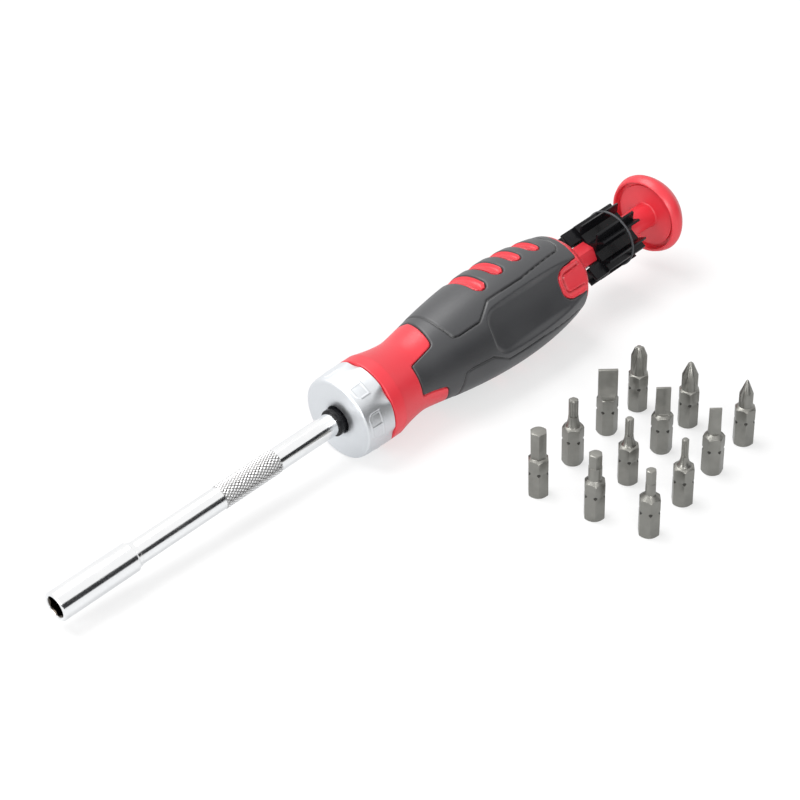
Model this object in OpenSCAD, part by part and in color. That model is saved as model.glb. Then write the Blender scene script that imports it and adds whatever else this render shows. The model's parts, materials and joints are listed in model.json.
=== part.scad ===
// Ratcheting screwdriver with a pull-out bit magazine in its handle, lying on its side
// next to its twelve loose bits. Every piece of the driver is drawn along +Z, with the
// tip of the bit socket at zero, and is then laid down by lay().

/* [Bit socket and shaft] */
// Outside diameter of the bit socket
socket_d = 10; // [9.5:0.1:11]
// Length of the bit socket
socket_len = 29; // [26:0.5:34]
// Hexagon recess, across its flats
socket_hex_af = 6.45; // [6.4:0.01:6.5]
// Depth of the hexagon recess
socket_hex_depth = 12; // [10:0.5:13]
// Diameter of the shaft
shaft_d = 8; // [7.6:0.1:8.2]
// Where the knurled finger band starts, from the tip
knurl_from = 65; // [50:1:75]
// Length of the knurled finger band
knurl_len = 24; // [15:1:30]

/* [Selector ring] */
// Front face of the selector ring, from the tip
ring_from = 117; // [110:0.5:125]
// Length of the selector ring
ring_len = 12; // [11:0.5:13]
// Diameter of the ring behind its rounded front edge
ring_front_d = 29.6; // [29:0.1:31]
// Diameter of the ring at its rear edge
ring_rear_d = 30.8; // [30:0.1:32]
// Turn of the ring from its middle click to either side, in degrees
ring_click = 22.5; // [15:0.5:25]

/* [Ratchet] */
// Number of teeth on the ratchet gear
gear_teeth = 24; // [24:12:36]
// Outside diameter of the ratchet gear
gear_d = 14; // [13.6:0.1:14.2]
// Diameter of the ratchet housing, which fills the ring and the front of the handle
housing_d = 24; // [23.6:0.1:24.2]

/* [Handle] */
// Length of the handle behind the ring
handle_len = 100.7; // [95:0.1:110]
// Diameter of the handle at its front flange
neck_d = 30.9; // [30:0.1:32]
// Diameter of the waist behind the ring
waist_d = 26.9; // [26.5:0.1:28]
// Greatest diameter of the handle
belly_d = 37.7; // [36:0.1:40]
// Diameter of the handle at its rear edge
tail_d = 29.1; // [28.8:0.1:30]
// Thickness of the soft grip over the hard core
skin = 1.4; // [1.2:0.1:1.5]
// Turn of the grip pattern about the handle, in degrees
grip_roll = -25; // [-45:1:0]

/* [Magazine] */
// How far the magazine pulls out of the handle
magazine_travel = 45; // [40:0.5:46]
// Diameter of the bit carrier
carrier_d = 22; // [21.5:0.1:22.5]
// Width of each bit channel
channel_w = 6.66; // [6.5:0.01:6.8]
// Thickness of the carrier's ribs
rib_t = 0.8; // [0.6:0.05:0.9]
// Hexagon stem of the magazine, across its flats
stem_af = 8.4; // [8:0.1:8.6]
// Greatest diameter of the end cap
cap_d = 30.8; // [30:0.1:32]

/* [Bits] */
// Hexagon shank of the bits, across its flats
bit_af = 6.35; // [6.3:0.01:6.35]
// Length of each bit
bit_len = 25; // [25:1:30]
// Length of the full hexagon on each bit
shank_len = 14; // [13:0.5:15]

/* [Hidden] */
$fn = 64;
eps = 0.01;
running = 0.05;
sqrt3 = sqrt(3);

// Stations along the driver, all measured from the tip
tip_chamfer = 0.4;
socket_step = 2;
spigot_in_socket_r = shaft_d / 2 - 0.3;
magnet_len = 1.6;
magnet_d = 5;
ring_to = ring_from + ring_len;
handle_from = ring_to + 0.3;
handle_to = handle_from + handle_len;
neck_to = handle_from + 4.7;
waist_at = handle_from + 17.7;
belly_at = handle_from + 66.7;
barrel_step = 3.5;

// Ratchet, with its pieces packed between the ring's front wall and the handle's tunnel
ring_wall = 2;
ring_front_len = 4;
ring_swell = 0.25;
mark_h = 0.1;
mark_count = 6;
mark_turn = 21.5;
ring_bore_r = housing_d / 2 + 0.1;
housing_from = ring_from + ring_wall + 0.3;
housing_to = handle_from + 8.7;
housing_floor = 1.5;
cavity_from = housing_from + housing_floor;
cavity_to = cavity_from + 7.2;
cover_t = 1.5;
cover_d = 21;
gear_from = cavity_from + 0.6;
gear_len = 5.8;
gear_root_r = gear_d / 2 - 0.9;
gear_room_r = gear_d / 2 + 0.4;
journal_r = 3;
journal_to = cavity_to + 5.2;
seat_r = shaft_d / 2 - 0.05;
washer_t = 0.6;
bush_len = 3.6;
bush_r = 5;
clip_t = 0.6;
key_count = 6;
key_w = 2.4;
key_r = housing_d / 2 + 0.7;
snap_at = ring_to - 2;
snap_r = 0.5;

// Pawls, drawn about the middle line between the two, which points along +Y
pawl_len = 5.4;
pawl_from = cavity_from + 0.8;
pawl_pivot_r = 9.4;
pawl_pivot_angle = 52;
pawl_pin_r = 0.9;
pawl_boss_r = 1.35;
pawl_mid = 90;
pocket_r = housing_d / 2 - 1.1;
pawl_spring_from = gear_d / 2 + 2.63;
tooth_step = 360 / gear_teeth;

// Click ball of the selector ring, on the far side from the pawls
ball_r = 0.95;
ball_at = cavity_from + 3;
ball_seat_r = housing_d / 2 - 0.45;
ball_track_r = ball_seat_r + ball_r + 0.1;
ball_bore_r = ball_r + 0.05;
ball_bore_from = gear_room_r + 1.1;
ball_angle = 270;

// Nose collar round the shaft, in front of the ring
collar_d = 9.7;
collar_out = 3;
collar_r = collar_d / 2;

// Grip pattern: two broad panels and, between them, two side scoops
panel_angle = grip_roll;
scoop_angle = grip_roll + 90;
grip_to = handle_to - 3.6;
tongue_from = handle_from + 15.7;
tongue_to = handle_from + 25.7;
tongue_w0 = 11.6;
tongue_w1 = 15.6;
seam = 0.3;
scoop_from = handle_from + 47.7;
scoop_to = handle_to + 4;
scoop_floor_r = 15.2;
scoop_fall = 1;
scoop_r = 56;
scoop_w = 18.8;
scoop_slope = 0.6;
window_at = [184.3, 194.5, 204.6, 214.3];
window_len = [21, 19, 17.5, 16.5];
window_w = 5.2;
window_sink = 0.5;
inset_from = handle_to - 15.4;
inset_w = 13.4;
inset_corner = 4.2;
island_in = 2.2;
island_groove = 0.6;
island_under = 1.25;

// Magazine, pulled out as far as it goes. The chamber's floor stops it when it is in.
carrier_front = handle_to + 14;
carrier_to = carrier_front + 20.4;
lug_len = 6;
chamber_from = carrier_front - lug_len - magazine_travel - 0.8;
chamber_r = 12.1;
tail_bevel = 2.9;
tail_r = chamber_r + 0.5;
guide_t = 4;
guide_from = chamber_from - guide_t;
tunnel_r = 6.2;
stem_r = stem_af / sqrt3;
stem_turn = 37.5;
stem_from = guide_from - 4;
stem_clip_at = guide_from - 1.3;
stem_clip_t = 1;
stem_groove_r = 3.6;
carrier_r = carrier_d / 2;
carrier_turn = 6;
channels = 6;
channel_step = 360 / channels;
channel_floor_r = 4.5;
channel_wall_r = channel_floor_r + channel_w / 2 * tan(30);
lug_channels = [-1, 2];
lug_w = 5;
lug_groove_w = 2.8;
lug_wall_back = 0.3;
spigot_r = 3;
band_at = carrier_front + 13;
band_r = 0.45;
band_ring_r = carrier_r - 0.25;
cap_rim = handle_to + 46;
cap_widest = cap_rim + 3;
cap_end = cap_widest + 10;
cap_r = cap_d / 2;
cap_side_r = 3.5;
cap_side_x = cap_r - cap_side_r;
cap_rise = cap_end - cap_widest;
// The dome's radius at which it runs smoothly into the rounded side
cap_dome_r = (pow(cap_side_x, 2) + pow(cap_rise, 2) - pow(cap_side_r, 2))
    / (2 * (cap_rise - cap_side_r));

// Bits stand on their shanks in four files of three, the largest nearest the handle
bit_r = bit_af / sqrt3;
bit_foot_r = 3;
bit_foot_h = 0.6;
bit_notch_at = 9.6;
bit_notch_r = 1;
bit_notch_deep = 0.3;
flare_foot_r = 2.7;
hex_stand = [[146, -62.5], [149, -83.5], [154, -101.5]];
star_stand = [[166.5, -59.5], [170.5, -79.5], [173.5, -99.5]];
slot_stand = [[187, -57], [191, -77], [193, -96.5]];
cross_stand = [[204.5, -56], [208.5, -74.5], [212.5, -94.5]];
corner_to_view = 44;
flat_to_view = 14;
blade_to_view = flat_to_view + 120;

// Runs from 0 to 1 as x does, but starts level
function eased(x, k = 0.1) = (sqrt(x * x + k * k) - k) / (sqrt(1 + k * k) - k);

// Radius of the bare handle at a station, as three smooth runs: flange to waist, waist
// to belly, belly to tail
function handle_r(s) =
    s < neck_to ? neck_d / 2
    : s < waist_at
    ? waist_d / 2 + (neck_d - waist_d) / 2 * pow((waist_at - s) / (waist_at - neck_to), 1.6)
    : s < belly_at
    ? waist_d / 2 + (belly_d - waist_d) / 2 * eased(sin(90 * (s - waist_at) / (belly_at - waist_at)))
    : belly_d / 2 - (belly_d - tail_d) / 2 * pow((s - belly_at) / (handle_to - belly_at), 2.2);

// Points of a round corner in a profile: centre, radius, first and last angle
function arc(x, y, r, a0, a1, n = 6) =
    [for (i = [0:n]) [x + r * cos(a0 + (a1 - a0) * i / n), y + r * sin(a0 + (a1 - a0) * i / n)]];

function at_angle(r, a) = [r * cos(a), r * sin(a)];

// The driver's weight lies behind its ring, so it rests on the ring and on its belly, and
// its tip stands a little off the floor
socket_r = socket_d / 2;
rest_at = ring_from + ring_front_len;
rest_r = ring_front_d / 2 + ring_swell + mark_h;
lay_tilt = max([for (s = [waist_at:0.5:belly_at]) atan((handle_r(s) - rest_r) / (s - rest_at))]);
tip_height = rest_r * cos(lay_tilt) - rest_at * sin(lay_tilt);
low_x = -(socket_r - tip_chamfer) * sin(lay_tilt);
high_x = (cap_end - cap_dome_r) * cos(lay_tilt) + cap_dome_r;
low_y = hex_stand[2][1] - bit_r * sin(corner_to_view + 60);
high_y = belly_d / 2 * sin(scoop_angle + 31);
centre_x = (low_x + high_x) / 2;
centre_y = (low_y + high_y) / 2;

// Lays a piece drawn along +Z down on its belly, with the origin under the whole set
module lay() {
    translate([-centre_x, -centre_y, tip_height])
        rotate([0, 90 - lay_tilt, 0])
            rotate([0, 0, 180])
                children();
}

// Stands a bit on the floor at its place, turned about its own axis
module stand(place, turn) {
    translate([place[0] - centre_x, place[1] - centre_y, 0])
        rotate([0, 0, turn])
            children();
}

// A solid that is turned about the driver's axis, from [radius, station] points
module turned(points) {
    rotate_extrude($fn = 96)
        polygon(points);
}

module tube(r_out, r_in, from, to) {
    translate([0, 0, from])
        difference() {
            cylinder(h = to - from, r = r_out);
            translate([0, 0, -1])
                cylinder(h = to - from + 2, r = r_in);
        }
}

// Cuts right through the handle, square to its axis, with an outline in
// [-station, width] points
module across(angle) {
    rotate([0, 0, angle])
        rotate([0, 90, 0])
            linear_extrude(height = 60, center = true)
                children();
}

module stadium(length, width) {
    square([width, length - width], center = true);
    for (side = [-1, 1])
        translate([0, side * (length - width) / 2])
            circle(d = width);
}

// Bit socket and shaft

module socket_sleeve() {
    color("silver")
        lay()
            difference() {
                turned([
                    [0, 0],
                    [socket_r - tip_chamfer, 0],
                    [socket_r, tip_chamfer],
                    [socket_r, socket_len],
                    [socket_r - 0.5, socket_len + 0.6],
                    [shaft_d / 2 + 0.15, socket_len + socket_step],
                    [0, socket_len + socket_step]
                ]);
                translate([0, 0, -1])
                    cylinder(h = socket_hex_depth + 1, r = socket_hex_af / sqrt3, $fn = 6);
                translate([0, 0, -eps])
                    cylinder(h = 0.8, r1 = socket_hex_af / sqrt3 + 0.3, r2 = socket_hex_af / 2);
                translate([0, 0, socket_hex_depth - eps])
                    cylinder(h = magnet_len + 2 * eps, d = magnet_d);
                translate([0, 0, socket_hex_depth + magnet_len])
                    cylinder(h = socket_len, r = spigot_in_socket_r);
            }
}

module socket_magnet() {
    color("dimgray")
        lay()
            translate([0, 0, socket_hex_depth])
                cylinder(h = magnet_len, d = magnet_d);
}

module driver_shaft() {
    shaft_from = socket_hex_depth + magnet_len;
    shaft_r = shaft_d / 2;
    knurl_r = shaft_r + 0.1;
    knurl_to = knurl_from + knurl_len;
    knurl_slope = 0.8;
    groove_at = journal_to - 1.1;
    color("silver")
        lay()
            difference() {
                union() {
                    turned([
                        [0, shaft_from],
                        [spigot_in_socket_r, shaft_from],
                        [spigot_in_socket_r, socket_len + socket_step],
                        [shaft_r, socket_len + socket_step],
                        [shaft_r, knurl_from],
                        [knurl_r, knurl_from + knurl_slope],
                        [knurl_r, knurl_to - knurl_slope],
                        [shaft_r, knurl_to],
                        [shaft_r, gear_from],
                        [0, gear_from]
                    ]);
                    translate([0, 0, gear_from - eps])
                        cylinder(h = gear_len + eps, r = seat_r, $fn = 6);
                    translate([0, 0, gear_from + gear_len - eps])
                        cylinder(h = journal_to - gear_from - gear_len, r = journal_r);
                }
                tube(journal_r + 1, journal_r - 0.4, groove_at, groove_at + clip_t);
            }
}

module nose_bush() {
    lip_r = 0.5;
    front = ring_from - collar_out;
    color("#202020")
        lay()
            difference() {
                turned(concat(
                    [[0, front]],
                    arc(collar_r - lip_r, front + lip_r, lip_r, -90, 0),
                    [
                        [collar_r, front + 1.6],
                        [collar_r - 0.35, front + 1.9],
                        [collar_r - 0.35, cavity_from - 0.2],
                        [0, cavity_from - 0.2]
                    ]
                ));
                translate([0, 0, front - 1])
                    cylinder(h = cavity_from - front + 2, r = shaft_d / 2 + running);
            }
}

// Selector ring

// Plain panels with cut corners, drawn by a thin raised line, evenly spaced round the ring
module ring_marks() {
    line_w = 0.45;
    half_l = 2.6;
    half_w = 4.9;
    cut = 1.2;
    intersection() {
        for (k = [0:mark_count - 1])
            rotate([0, 0, k * 360 / mark_count + mark_turn])
                translate([0, 0, ring_from + 5])
                    rotate([0, 90, 0])
                        linear_extrude(height = ring_rear_d)
                            difference() {
                                mark_panel(half_l, half_w, cut);
                                mark_panel(half_l - line_w, half_w - line_w, cut - line_w / 3);
                            }
        turned([
            [0, ring_from + 1],
            [ring_front_d / 2 + mark_h, ring_from + 1],
            [rest_r, rest_at],
            [ring_rear_d / 2 + mark_h, ring_to - 0.5],
            [0, ring_to - 0.5]
        ]);
    }
}

module mark_panel(half_l, half_w, cut) {
    polygon([
        [-half_l, -half_w], [half_l - cut, -half_w], [half_l, cut - half_w],
        [half_l, half_w - cut], [half_l - cut, half_w], [-half_l, half_w]
    ]);
}

module selector_ring() {
    edge_r = 0.9;
    front_r = ring_front_d / 2;
    rear_r = ring_rear_d / 2;
    mouth_r = collar_r + 0.25;
    scallop_r = 14;
    scallop_deep = 0.75;
    scallop_lean = 7;
    color("gainsboro")
        lay()
            difference() {
                union() {
                    turned(concat(
                        [
                            [0, ring_from + 0.3],
                            [mouth_r + 1.6, ring_from],
                            [front_r - edge_r - 0.6, ring_from]
                        ],
                        arc(front_r - edge_r, ring_from + edge_r, edge_r, -80, 0),
                        [
                            [front_r + ring_swell, rest_at],
                            [rear_r, ring_to - 0.5],
                            [rear_r - 0.4, ring_to],
                            [0, ring_to]
                        ]
                    ));
                    ring_marks();
                }
                translate([0, 0, ring_from - 1])
                    cylinder(h = ring_wall + 2, r = mouth_r);
                translate([0, 0, ring_from + ring_wall])
                    cylinder(h = ring_len, r = ring_bore_r);
                tube(ball_track_r, ring_bore_r - 0.5, ball_at - ball_r - 0.2, ball_at + ball_r + 0.2);
                for (click = [-1, 0, 1])
                    rotate([0, 0, ball_angle + click * ring_click])
                        translate([ball_seat_r + 0.15, 0, ball_at])
                            sphere(r = ball_r + 0.15);
                tube(ring_bore_r + 0.65, ring_bore_r - 0.5, snap_at - snap_r - 0.15, snap_at + snap_r + 0.15);
                // Shallow finger scallops between the panels, deepest at the rear edge
                for (k = [0:mark_count - 1])
                    rotate([0, 0, (k + 0.5) * 360 / mark_count + mark_turn])
                        translate([rear_r + scallop_r - scallop_deep, 0, ring_to])
                            rotate([0, -scallop_lean, 0])
                                cylinder(h = ring_len * 2, r = scallop_r, center = true);
            }
}

module ring_retainer() {
    // Split wire ring that keeps the selector ring on the housing
    color("silver")
        lay()
            difference() {
                rotate_extrude($fn = 96)
                    translate([housing_d / 2 + 0.05, snap_at])
                        circle(r = snap_r - 0.05, $fn = 24);
                rotate([0, 0, 200])
                    translate([housing_d / 2 - 2, -1, snap_at - 2])
                        cube([4, 2, 4]);
            }
}

// Ratchet

module housing_keys(extra) {
    for (k = [0:key_count - 1])
        rotate([0, 0, k * 360 / key_count])
            translate([housing_d / 2 - 1, -key_w / 2 - extra, handle_from + 0.5])
                cube([key_r - housing_d / 2 + 1 + extra, key_w + 2 * extra, housing_to - handle_from - 0.5]);
}

module pawl_room() {
    difference() {
        circle(r = pocket_r);
        rotate([0, 0, pawl_mid])
            translate([-2 * pocket_r, -pocket_r])
                square([2 * pocket_r + 2.2, 2 * pocket_r]);
    }
    circle(r = gear_room_r);
}

module ratchet_housing() {
    color("slategray")
        lay()
            difference() {
                union() {
                    translate([0, 0, housing_from])
                        cylinder(h = housing_to - housing_from, d = housing_d);
                    housing_keys(0);
                }
                translate([0, 0, housing_from - 1])
                    cylinder(h = housing_floor + 2, r = collar_r - 0.35);
                translate([0, 0, cavity_from])
                    linear_extrude(height = cavity_to - cavity_from + eps)
                        pawl_room();
                translate([0, 0, cavity_to])
                    cylinder(h = 20, d = cover_d);
                for (side = [-1, 1])
                    rotate([0, 0, pawl_mid + side * pawl_pivot_angle])
                        translate([pawl_pivot_r, 0, cavity_from - 0.9])
                            cylinder(h = 2, r = pawl_pin_r, $fn = 24);
                rotate([0, 0, ball_angle])
                    translate([ball_bore_from, 0, ball_at])
                        rotate([0, 90, 0])
                            cylinder(h = housing_d, r = ball_bore_r, $fn = 32);
                tube(housing_d, housing_d / 2 - 0.45, snap_at - snap_r, snap_at + snap_r);
            }
}

module housing_cover() {
    color("gray")
        lay()
            difference() {
                translate([0, 0, cavity_to])
                    cylinder(h = cover_t + 2.1, d = cover_d);
                translate([0, 0, cavity_to + cover_t])
                    tube(cover_d / 2 + 1, bush_r + 1.2, 0, 4);
                translate([0, 0, cavity_to - 1])
                    cylinder(h = 8, r = bush_r);
                for (side = [-1, 1])
                    rotate([0, 0, pawl_mid + side * pawl_pivot_angle])
                        translate([pawl_pivot_r, 0, cavity_to - 1])
                            cylinder(h = 4, r = pawl_pin_r, $fn = 24);
            }
}

module ratchet_gear() {
    land = tooth_step * 0.13;
    root = tooth_step * 0.4;
    tooth = [[gear_root_r, -root], [gear_d / 2, -land], [gear_d / 2, land], [gear_root_r, root]];
    color("dimgray")
        lay()
            translate([0, 0, gear_from])
                linear_extrude(height = gear_len)
                    difference() {
                        polygon([
                            for (k = [0:gear_teeth - 1])
                                for (p = tooth)
                                    at_angle(p[0], pawl_mid + k * tooth_step + p[1])
                        ]);
                        circle(r = seat_r, $fn = 6);
                    }
}

// A pawl's arched arm, ending in the nose that drops between two teeth
module pawl_arm(side) {
    gap = tooth_step / 2;
    nose = gear_root_r + 0.12;
    outline = [
        [nose, gap - 0.6], [nose, gap + 0.6],
        [gear_d / 2 + 0.35, gap + 6], [gear_d / 2 + 0.35, gap + 20],
        [pawl_pivot_r - pawl_boss_r + 0.15, pawl_pivot_angle - 1],
        [pawl_pivot_r, pawl_pivot_angle],
        [pawl_pivot_r + pawl_boss_r - 0.15, pawl_pivot_angle - 1],
        [gear_d / 2 + 2.6, gap + 16], [gear_d / 2 + 1.8, gap - 2], [gear_d / 2 + 0.2, gap - 3.4]
    ];
    linear_extrude(height = pawl_len)
        polygon([for (p = outline) at_angle(p[0], pawl_mid + side * p[1])]);
}

// One pawl, on the side of the middle line between the two that side says
module pawl(side) {
    color("dimgray")
        lay()
            translate([0, 0, pawl_from])
                difference() {
                    union() {
                        pawl_arm(side);
                        rotate([0, 0, pawl_mid + side * pawl_pivot_angle])
                            translate([pawl_pivot_r, 0, 0])
                                cylinder(h = pawl_len, r = pawl_boss_r);
                    }
                    rotate([0, 0, pawl_mid + side * pawl_pivot_angle])
                        translate([pawl_pivot_r, 0, -1])
                            cylinder(h = pawl_len + 2, r = pawl_pin_r + running, $fn = 24);
                }
}

module pawl_left() {
    pawl(1);
}

module pawl_right() {
    pawl(-1);
}

module pawl_pins() {
    color("silver")
        lay()
            for (side = [-1, 1])
                rotate([0, 0, pawl_mid + side * pawl_pivot_angle])
                    translate([pawl_pivot_r, 0, cavity_from - 0.9])
                        cylinder(h = cavity_to - cavity_from + 0.9 + cover_t, r = pawl_pin_r, $fn = 24);
}

module pawl_spring(side) {
    // Coil spring between the housing wall and the back of a pawl's arm
    rotate([0, 0, pawl_mid + side * (tooth_step / 2 + 13)])
        translate([pawl_spring_from, 0, pawl_from + pawl_len / 2])
            rotate([0, 90, 0])
                tube(0.75, 0.45, 0, pocket_r - pawl_spring_from);
}

module pawl_spring_left() {
    color("silver")
        lay()
            pawl_spring(1);
}

module pawl_spring_right() {
    color("silver")
        lay()
            pawl_spring(-1);
}

module click_ball() {
    color("silver")
        lay()
            rotate([0, 0, ball_angle])
                translate([ball_seat_r, 0, ball_at])
                    sphere(r = ball_r);
}

module click_spring() {
    color("silver")
        lay()
            rotate([0, 0, ball_angle])
                translate([ball_bore_from + 0.02, 0, ball_at])
                    rotate([0, 90, 0])
                        tube(ball_r - 0.1, ball_r - 0.4, 0, ball_seat_r - ball_bore_from - ball_r + 0.1);
}

module thrust_washer() {
    color("goldenrod")
        lay()
            tube(6, journal_r, gear_from + gear_len, gear_from + gear_len + washer_t);
}

module rear_bush() {
    color("goldenrod")
        lay()
            tube(bush_r, journal_r + running, cavity_to, cavity_to + bush_len);
}

module shaft_circlip() {
    groove_at = journal_to - 1.1;
    color("silver")
        lay()
            difference() {
                tube(journal_r + 1.2, journal_r - 0.4, groove_at, groove_at + clip_t);
                translate([0, -1, groove_at - 1])
                    cube([6, 2, 3]);
            }
}

// Handle

// The handle's outer form without its pattern, taken in by shrink
module barrel(shrink, from, to) {
    steps = ceil((to - from) / barrel_step);
    turned(concat(
        [[0, from]],
        [for (i = [0:steps]) let (s = from + (to - from) * i / steps) [handle_r(s) - shrink, s]],
        [[0, to]]
    ));
}

// Room for the two side scoops, drawn in by sink and grown by grow
module scoops(sink, grow) {
    half = (scoop_to - scoop_from) / 2;
    for (turn = [0, 180])
        rotate([0, 0, scoop_angle + turn])
            intersection() {
                translate([scoop_floor_r - sink + scoop_r, 0, scoop_from])
                    rotate([0, -scoop_fall, 0])
                        cylinder(h = 140, r = scoop_r, center = true, $fn = 128);
                translate([scoop_floor_r - sink - 1.4, 0, scoop_from + half])
                    sloped_block(half - scoop_slope * 3 + grow, scoop_w / 2 - scoop_slope * 3 + grow);
            }
}

// A block with round corners whose four sides open outwards, along +X
module sloped_block(half_l, half_w) {
    corner = 4;
    tall = 8;
    flare = tall * scoop_slope;
    for (z = [-1, 1])
        for (y = [-1, 1])
            translate([0, y * (half_w - corner), z * (half_l - corner)])
                rotate([0, 90, 0])
                    cylinder(h = tall, r1 = corner, r2 = corner + flare);
    translate([0, 0, corner - half_l])
        linear_extrude(height = 2 * (half_l - corner))
            polygon([[0, -half_w], [tall, -half_w - flare], [tall, half_w + flare], [0, half_w]]);
    translate([0, half_w - corner, 0])
        rotate([90, 0, 0])
            linear_extrude(height = 2 * (half_w - corner))
                polygon([[0, -half_l], [tall, -half_l - flare], [tall, half_l + flare], [0, half_l]]);
}

module windows(extra) {
    for (k = [0:len(window_at) - 1])
        across(panel_angle)
            translate([-window_at[k], 0])
                stadium(window_len[k] + 2 * extra, window_w + 2 * extra);
}

// A rear inset has round front corners and runs out through the tail
module inset_outline(inward) {
    half = inset_w / 2 - inward;
    corner = inset_corner - inward;
    polygon(concat(
        [[-handle_to - 2, half]],
        arc(-inset_from - inset_corner, half - corner, corner, 90, 0),
        arc(-inset_from - inset_corner, corner - half, corner, 0, -90),
        [[-handle_to - 2, -half]]
    ));
}

// Where the hard core shows in front of the soft grip, less the two tongues of grip
module red_front(gap) {
    difference() {
        translate([0, 0, handle_from - 1])
            cylinder(h = tongue_to - handle_from + 1 + gap, r = 30);
        across(scoop_angle)
            polygon([
                [-tongue_from - gap, -tongue_w0 / 2 + gap],
                [-tongue_to - 5, -tongue_w1 / 2 + gap - 1],
                [-tongue_to - 5, tongue_w1 / 2 - gap + 1],
                [-tongue_from - gap, tongue_w0 / 2 - gap]
            ]);
    }
}

// The core under the soft grip, taken in by the grip's thickness all over
module core_body() {
    difference() {
        barrel(skin, handle_from, grip_to + 1);
        scoops(skin, 0.8);
    }
}

// Outer form of the hard core, which the soft grip is moulded over
module core_form() {
    intersection() {
        barrel(0, handle_from, tongue_to);
        red_front(0);
    }
    core_body();
    intersection() {
        barrel(window_sink, window_at[0] - 6, window_at[3] + 6);
        windows(0);
    }
    difference() {
        intersection() {
            barrel(0.2, inset_from - 2, handle_to - tail_bevel);
            across(scoop_angle)
                inset_outline(0);
        }
        scoops(0, 0);
    }
    tail();
}

// The red tail behind the grip, with a broad bevel down to the magazine's mouth
module tail() {
    bevel_at = handle_to - tail_bevel;
    full_r = handle_r(bevel_at) - 0.15;
    ease = 0.4;
    turned([
        [0, grip_to - 0.5],
        [handle_r(grip_to) - 0.2, grip_to - 0.5],
        [full_r, bevel_at - ease],
        [full_r - ease / 2, bevel_at + ease / 2],
        [tail_r + ease, handle_to - 0.7],
        [tail_r + 0.1, handle_to - 0.3],
        [tail_r - 0.1, handle_to],
        [0, handle_to]
    ]);
}

module island_cut() {
    // Shallow groove round the raised island in each rear inset
    difference() {
        across(scoop_angle)
            difference() {
                inset_outline(island_in);
                inset_outline(island_in + island_groove);
            }
        cylinder(h = 2 * handle_to, r = scoop_floor_r - island_under);
        translate([0, 0, handle_to - tail_bevel])
            cylinder(h = 10, r = 40);
    }
}

module handle_core() {
    color("#d8232c")
        lay()
            difference() {
                core_form();
                island_cut();
                translate([0, 0, handle_from - 1])
                    cylinder(h = housing_to - handle_from + 1.2, d = housing_d);
                housing_keys(0);
                translate([0, 0, housing_to])
                    cylinder(h = guide_from - housing_to, r = tunnel_r);
                translate([0, 0, guide_from - 1])
                    rotate([0, 0, stem_turn])
                        cylinder(h = guide_t + 2, r = stem_r + 0.12, $fn = 6);
                translate([0, 0, chamber_from])
                    cylinder(h = handle_to - chamber_from + 1, r = chamber_r);
            }
}

module soft_grip() {
    color("#3c3d40")
        lay()
            difference() {
                barrel(0, tongue_from, grip_to);
                scoops(0, 0);
                red_front(seam);
                core_body();
                windows(0);
                across(scoop_angle)
                    inset_outline(0);
            }
}

// Magazine

module magazine_stem() {
    color("#d8232c")
        lay()
            difference() {
                union() {
                    rotate([0, 0, stem_turn])
                        translate([0, 0, stem_from])
                            cylinder(h = carrier_front - stem_from, r = stem_r, $fn = 6);
                    translate([0, 0, carrier_front - eps])
                        cylinder(h = cap_rim - carrier_front, r = spigot_r);
                }
                tube(stem_r + 1, stem_groove_r, stem_clip_at, stem_clip_at + stem_clip_t);
            }
}

module stem_clip() {
    color("silver")
        lay()
            difference() {
                tube(5.8, stem_groove_r, stem_clip_at, stem_clip_at + stem_clip_t);
                translate([0, -1.4, stem_clip_at - 1])
                    cube([8, 2.8, 3]);
            }
}

// The carrier across its length: a hub and six channels with a floor like a flat V, which
// the hexagon of a bit sits in, and a slot between each two channels
module carrier_section() {
    apex = (channel_w / 2 + rib_t) / sin(channel_step / 2);
    slot_w = (carrier_r + 1 - apex) * tan(channel_step / 2);
    difference() {
        circle(r = carrier_r, $fn = 96);
        for (k = [0:channels - 1])
            rotate([0, 0, k * channel_step + carrier_turn]) {
                polygon([
                    [channel_floor_r, 0],
                    [channel_wall_r, channel_w / 2], [carrier_r + 1, channel_w / 2],
                    [carrier_r + 1, -channel_w / 2], [channel_wall_r, -channel_w / 2]
                ]);
                rotate([0, 0, channel_step / 2])
                    polygon([[apex, 0], [carrier_r + 1, -slot_w], [carrier_r + 1, slot_w]]);
            }
    }
}

// A grooved lug in front of a channel, which the bit behind it rests against
module carrier_lug() {
    low = channel_floor_r + 0.6;
    difference() {
        translate([low, -lug_w / 2, -lug_len])
            cube([carrier_r - low - 0.5, lug_w, lug_len + lug_wall_back + 0.2]);
        translate([carrier_r - 2.4, -lug_groove_w / 2, -lug_len - 1])
            cube([4, lug_groove_w, lug_len + 0.4]);
    }
}

// The wall that carries a lug, across one channel and its two ribs
module lug_wall() {
    wall_t = 0.8;
    intersection() {
        translate([0, 0, lug_wall_back])
            cylinder(h = wall_t, r = carrier_r - lug_wall_back, $fn = 96);
        translate([channel_floor_r - 0.5, -channel_w / 2 - rib_t / 2, -1])
            cube([carrier_r, channel_w + rib_t, wall_t + 2]);
    }
}

module bit_carrier() {
    color("#1c1c1e")
        lay()
            difference() {
                union() {
                    translate([0, 0, carrier_front])
                        linear_extrude(height = carrier_to - carrier_front)
                            carrier_section();
                    for (k = lug_channels)
                        rotate([0, 0, k * channel_step + carrier_turn])
                            translate([0, 0, carrier_front]) {
                                carrier_lug();
                                lug_wall();
                            }
                }
                translate([0, 0, carrier_front - 1])
                    cylinder(h = carrier_to - carrier_front + 2, r = spigot_r);
                tube(carrier_r + 1, band_ring_r - band_r, band_at - band_r, band_at + band_r);
            }
}

module retaining_band() {
    color("#2a2a2c")
        lay()
            rotate_extrude($fn = 96)
                translate([band_ring_r, band_at])
                    circle(r = band_r, $fn = 16);
}

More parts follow.
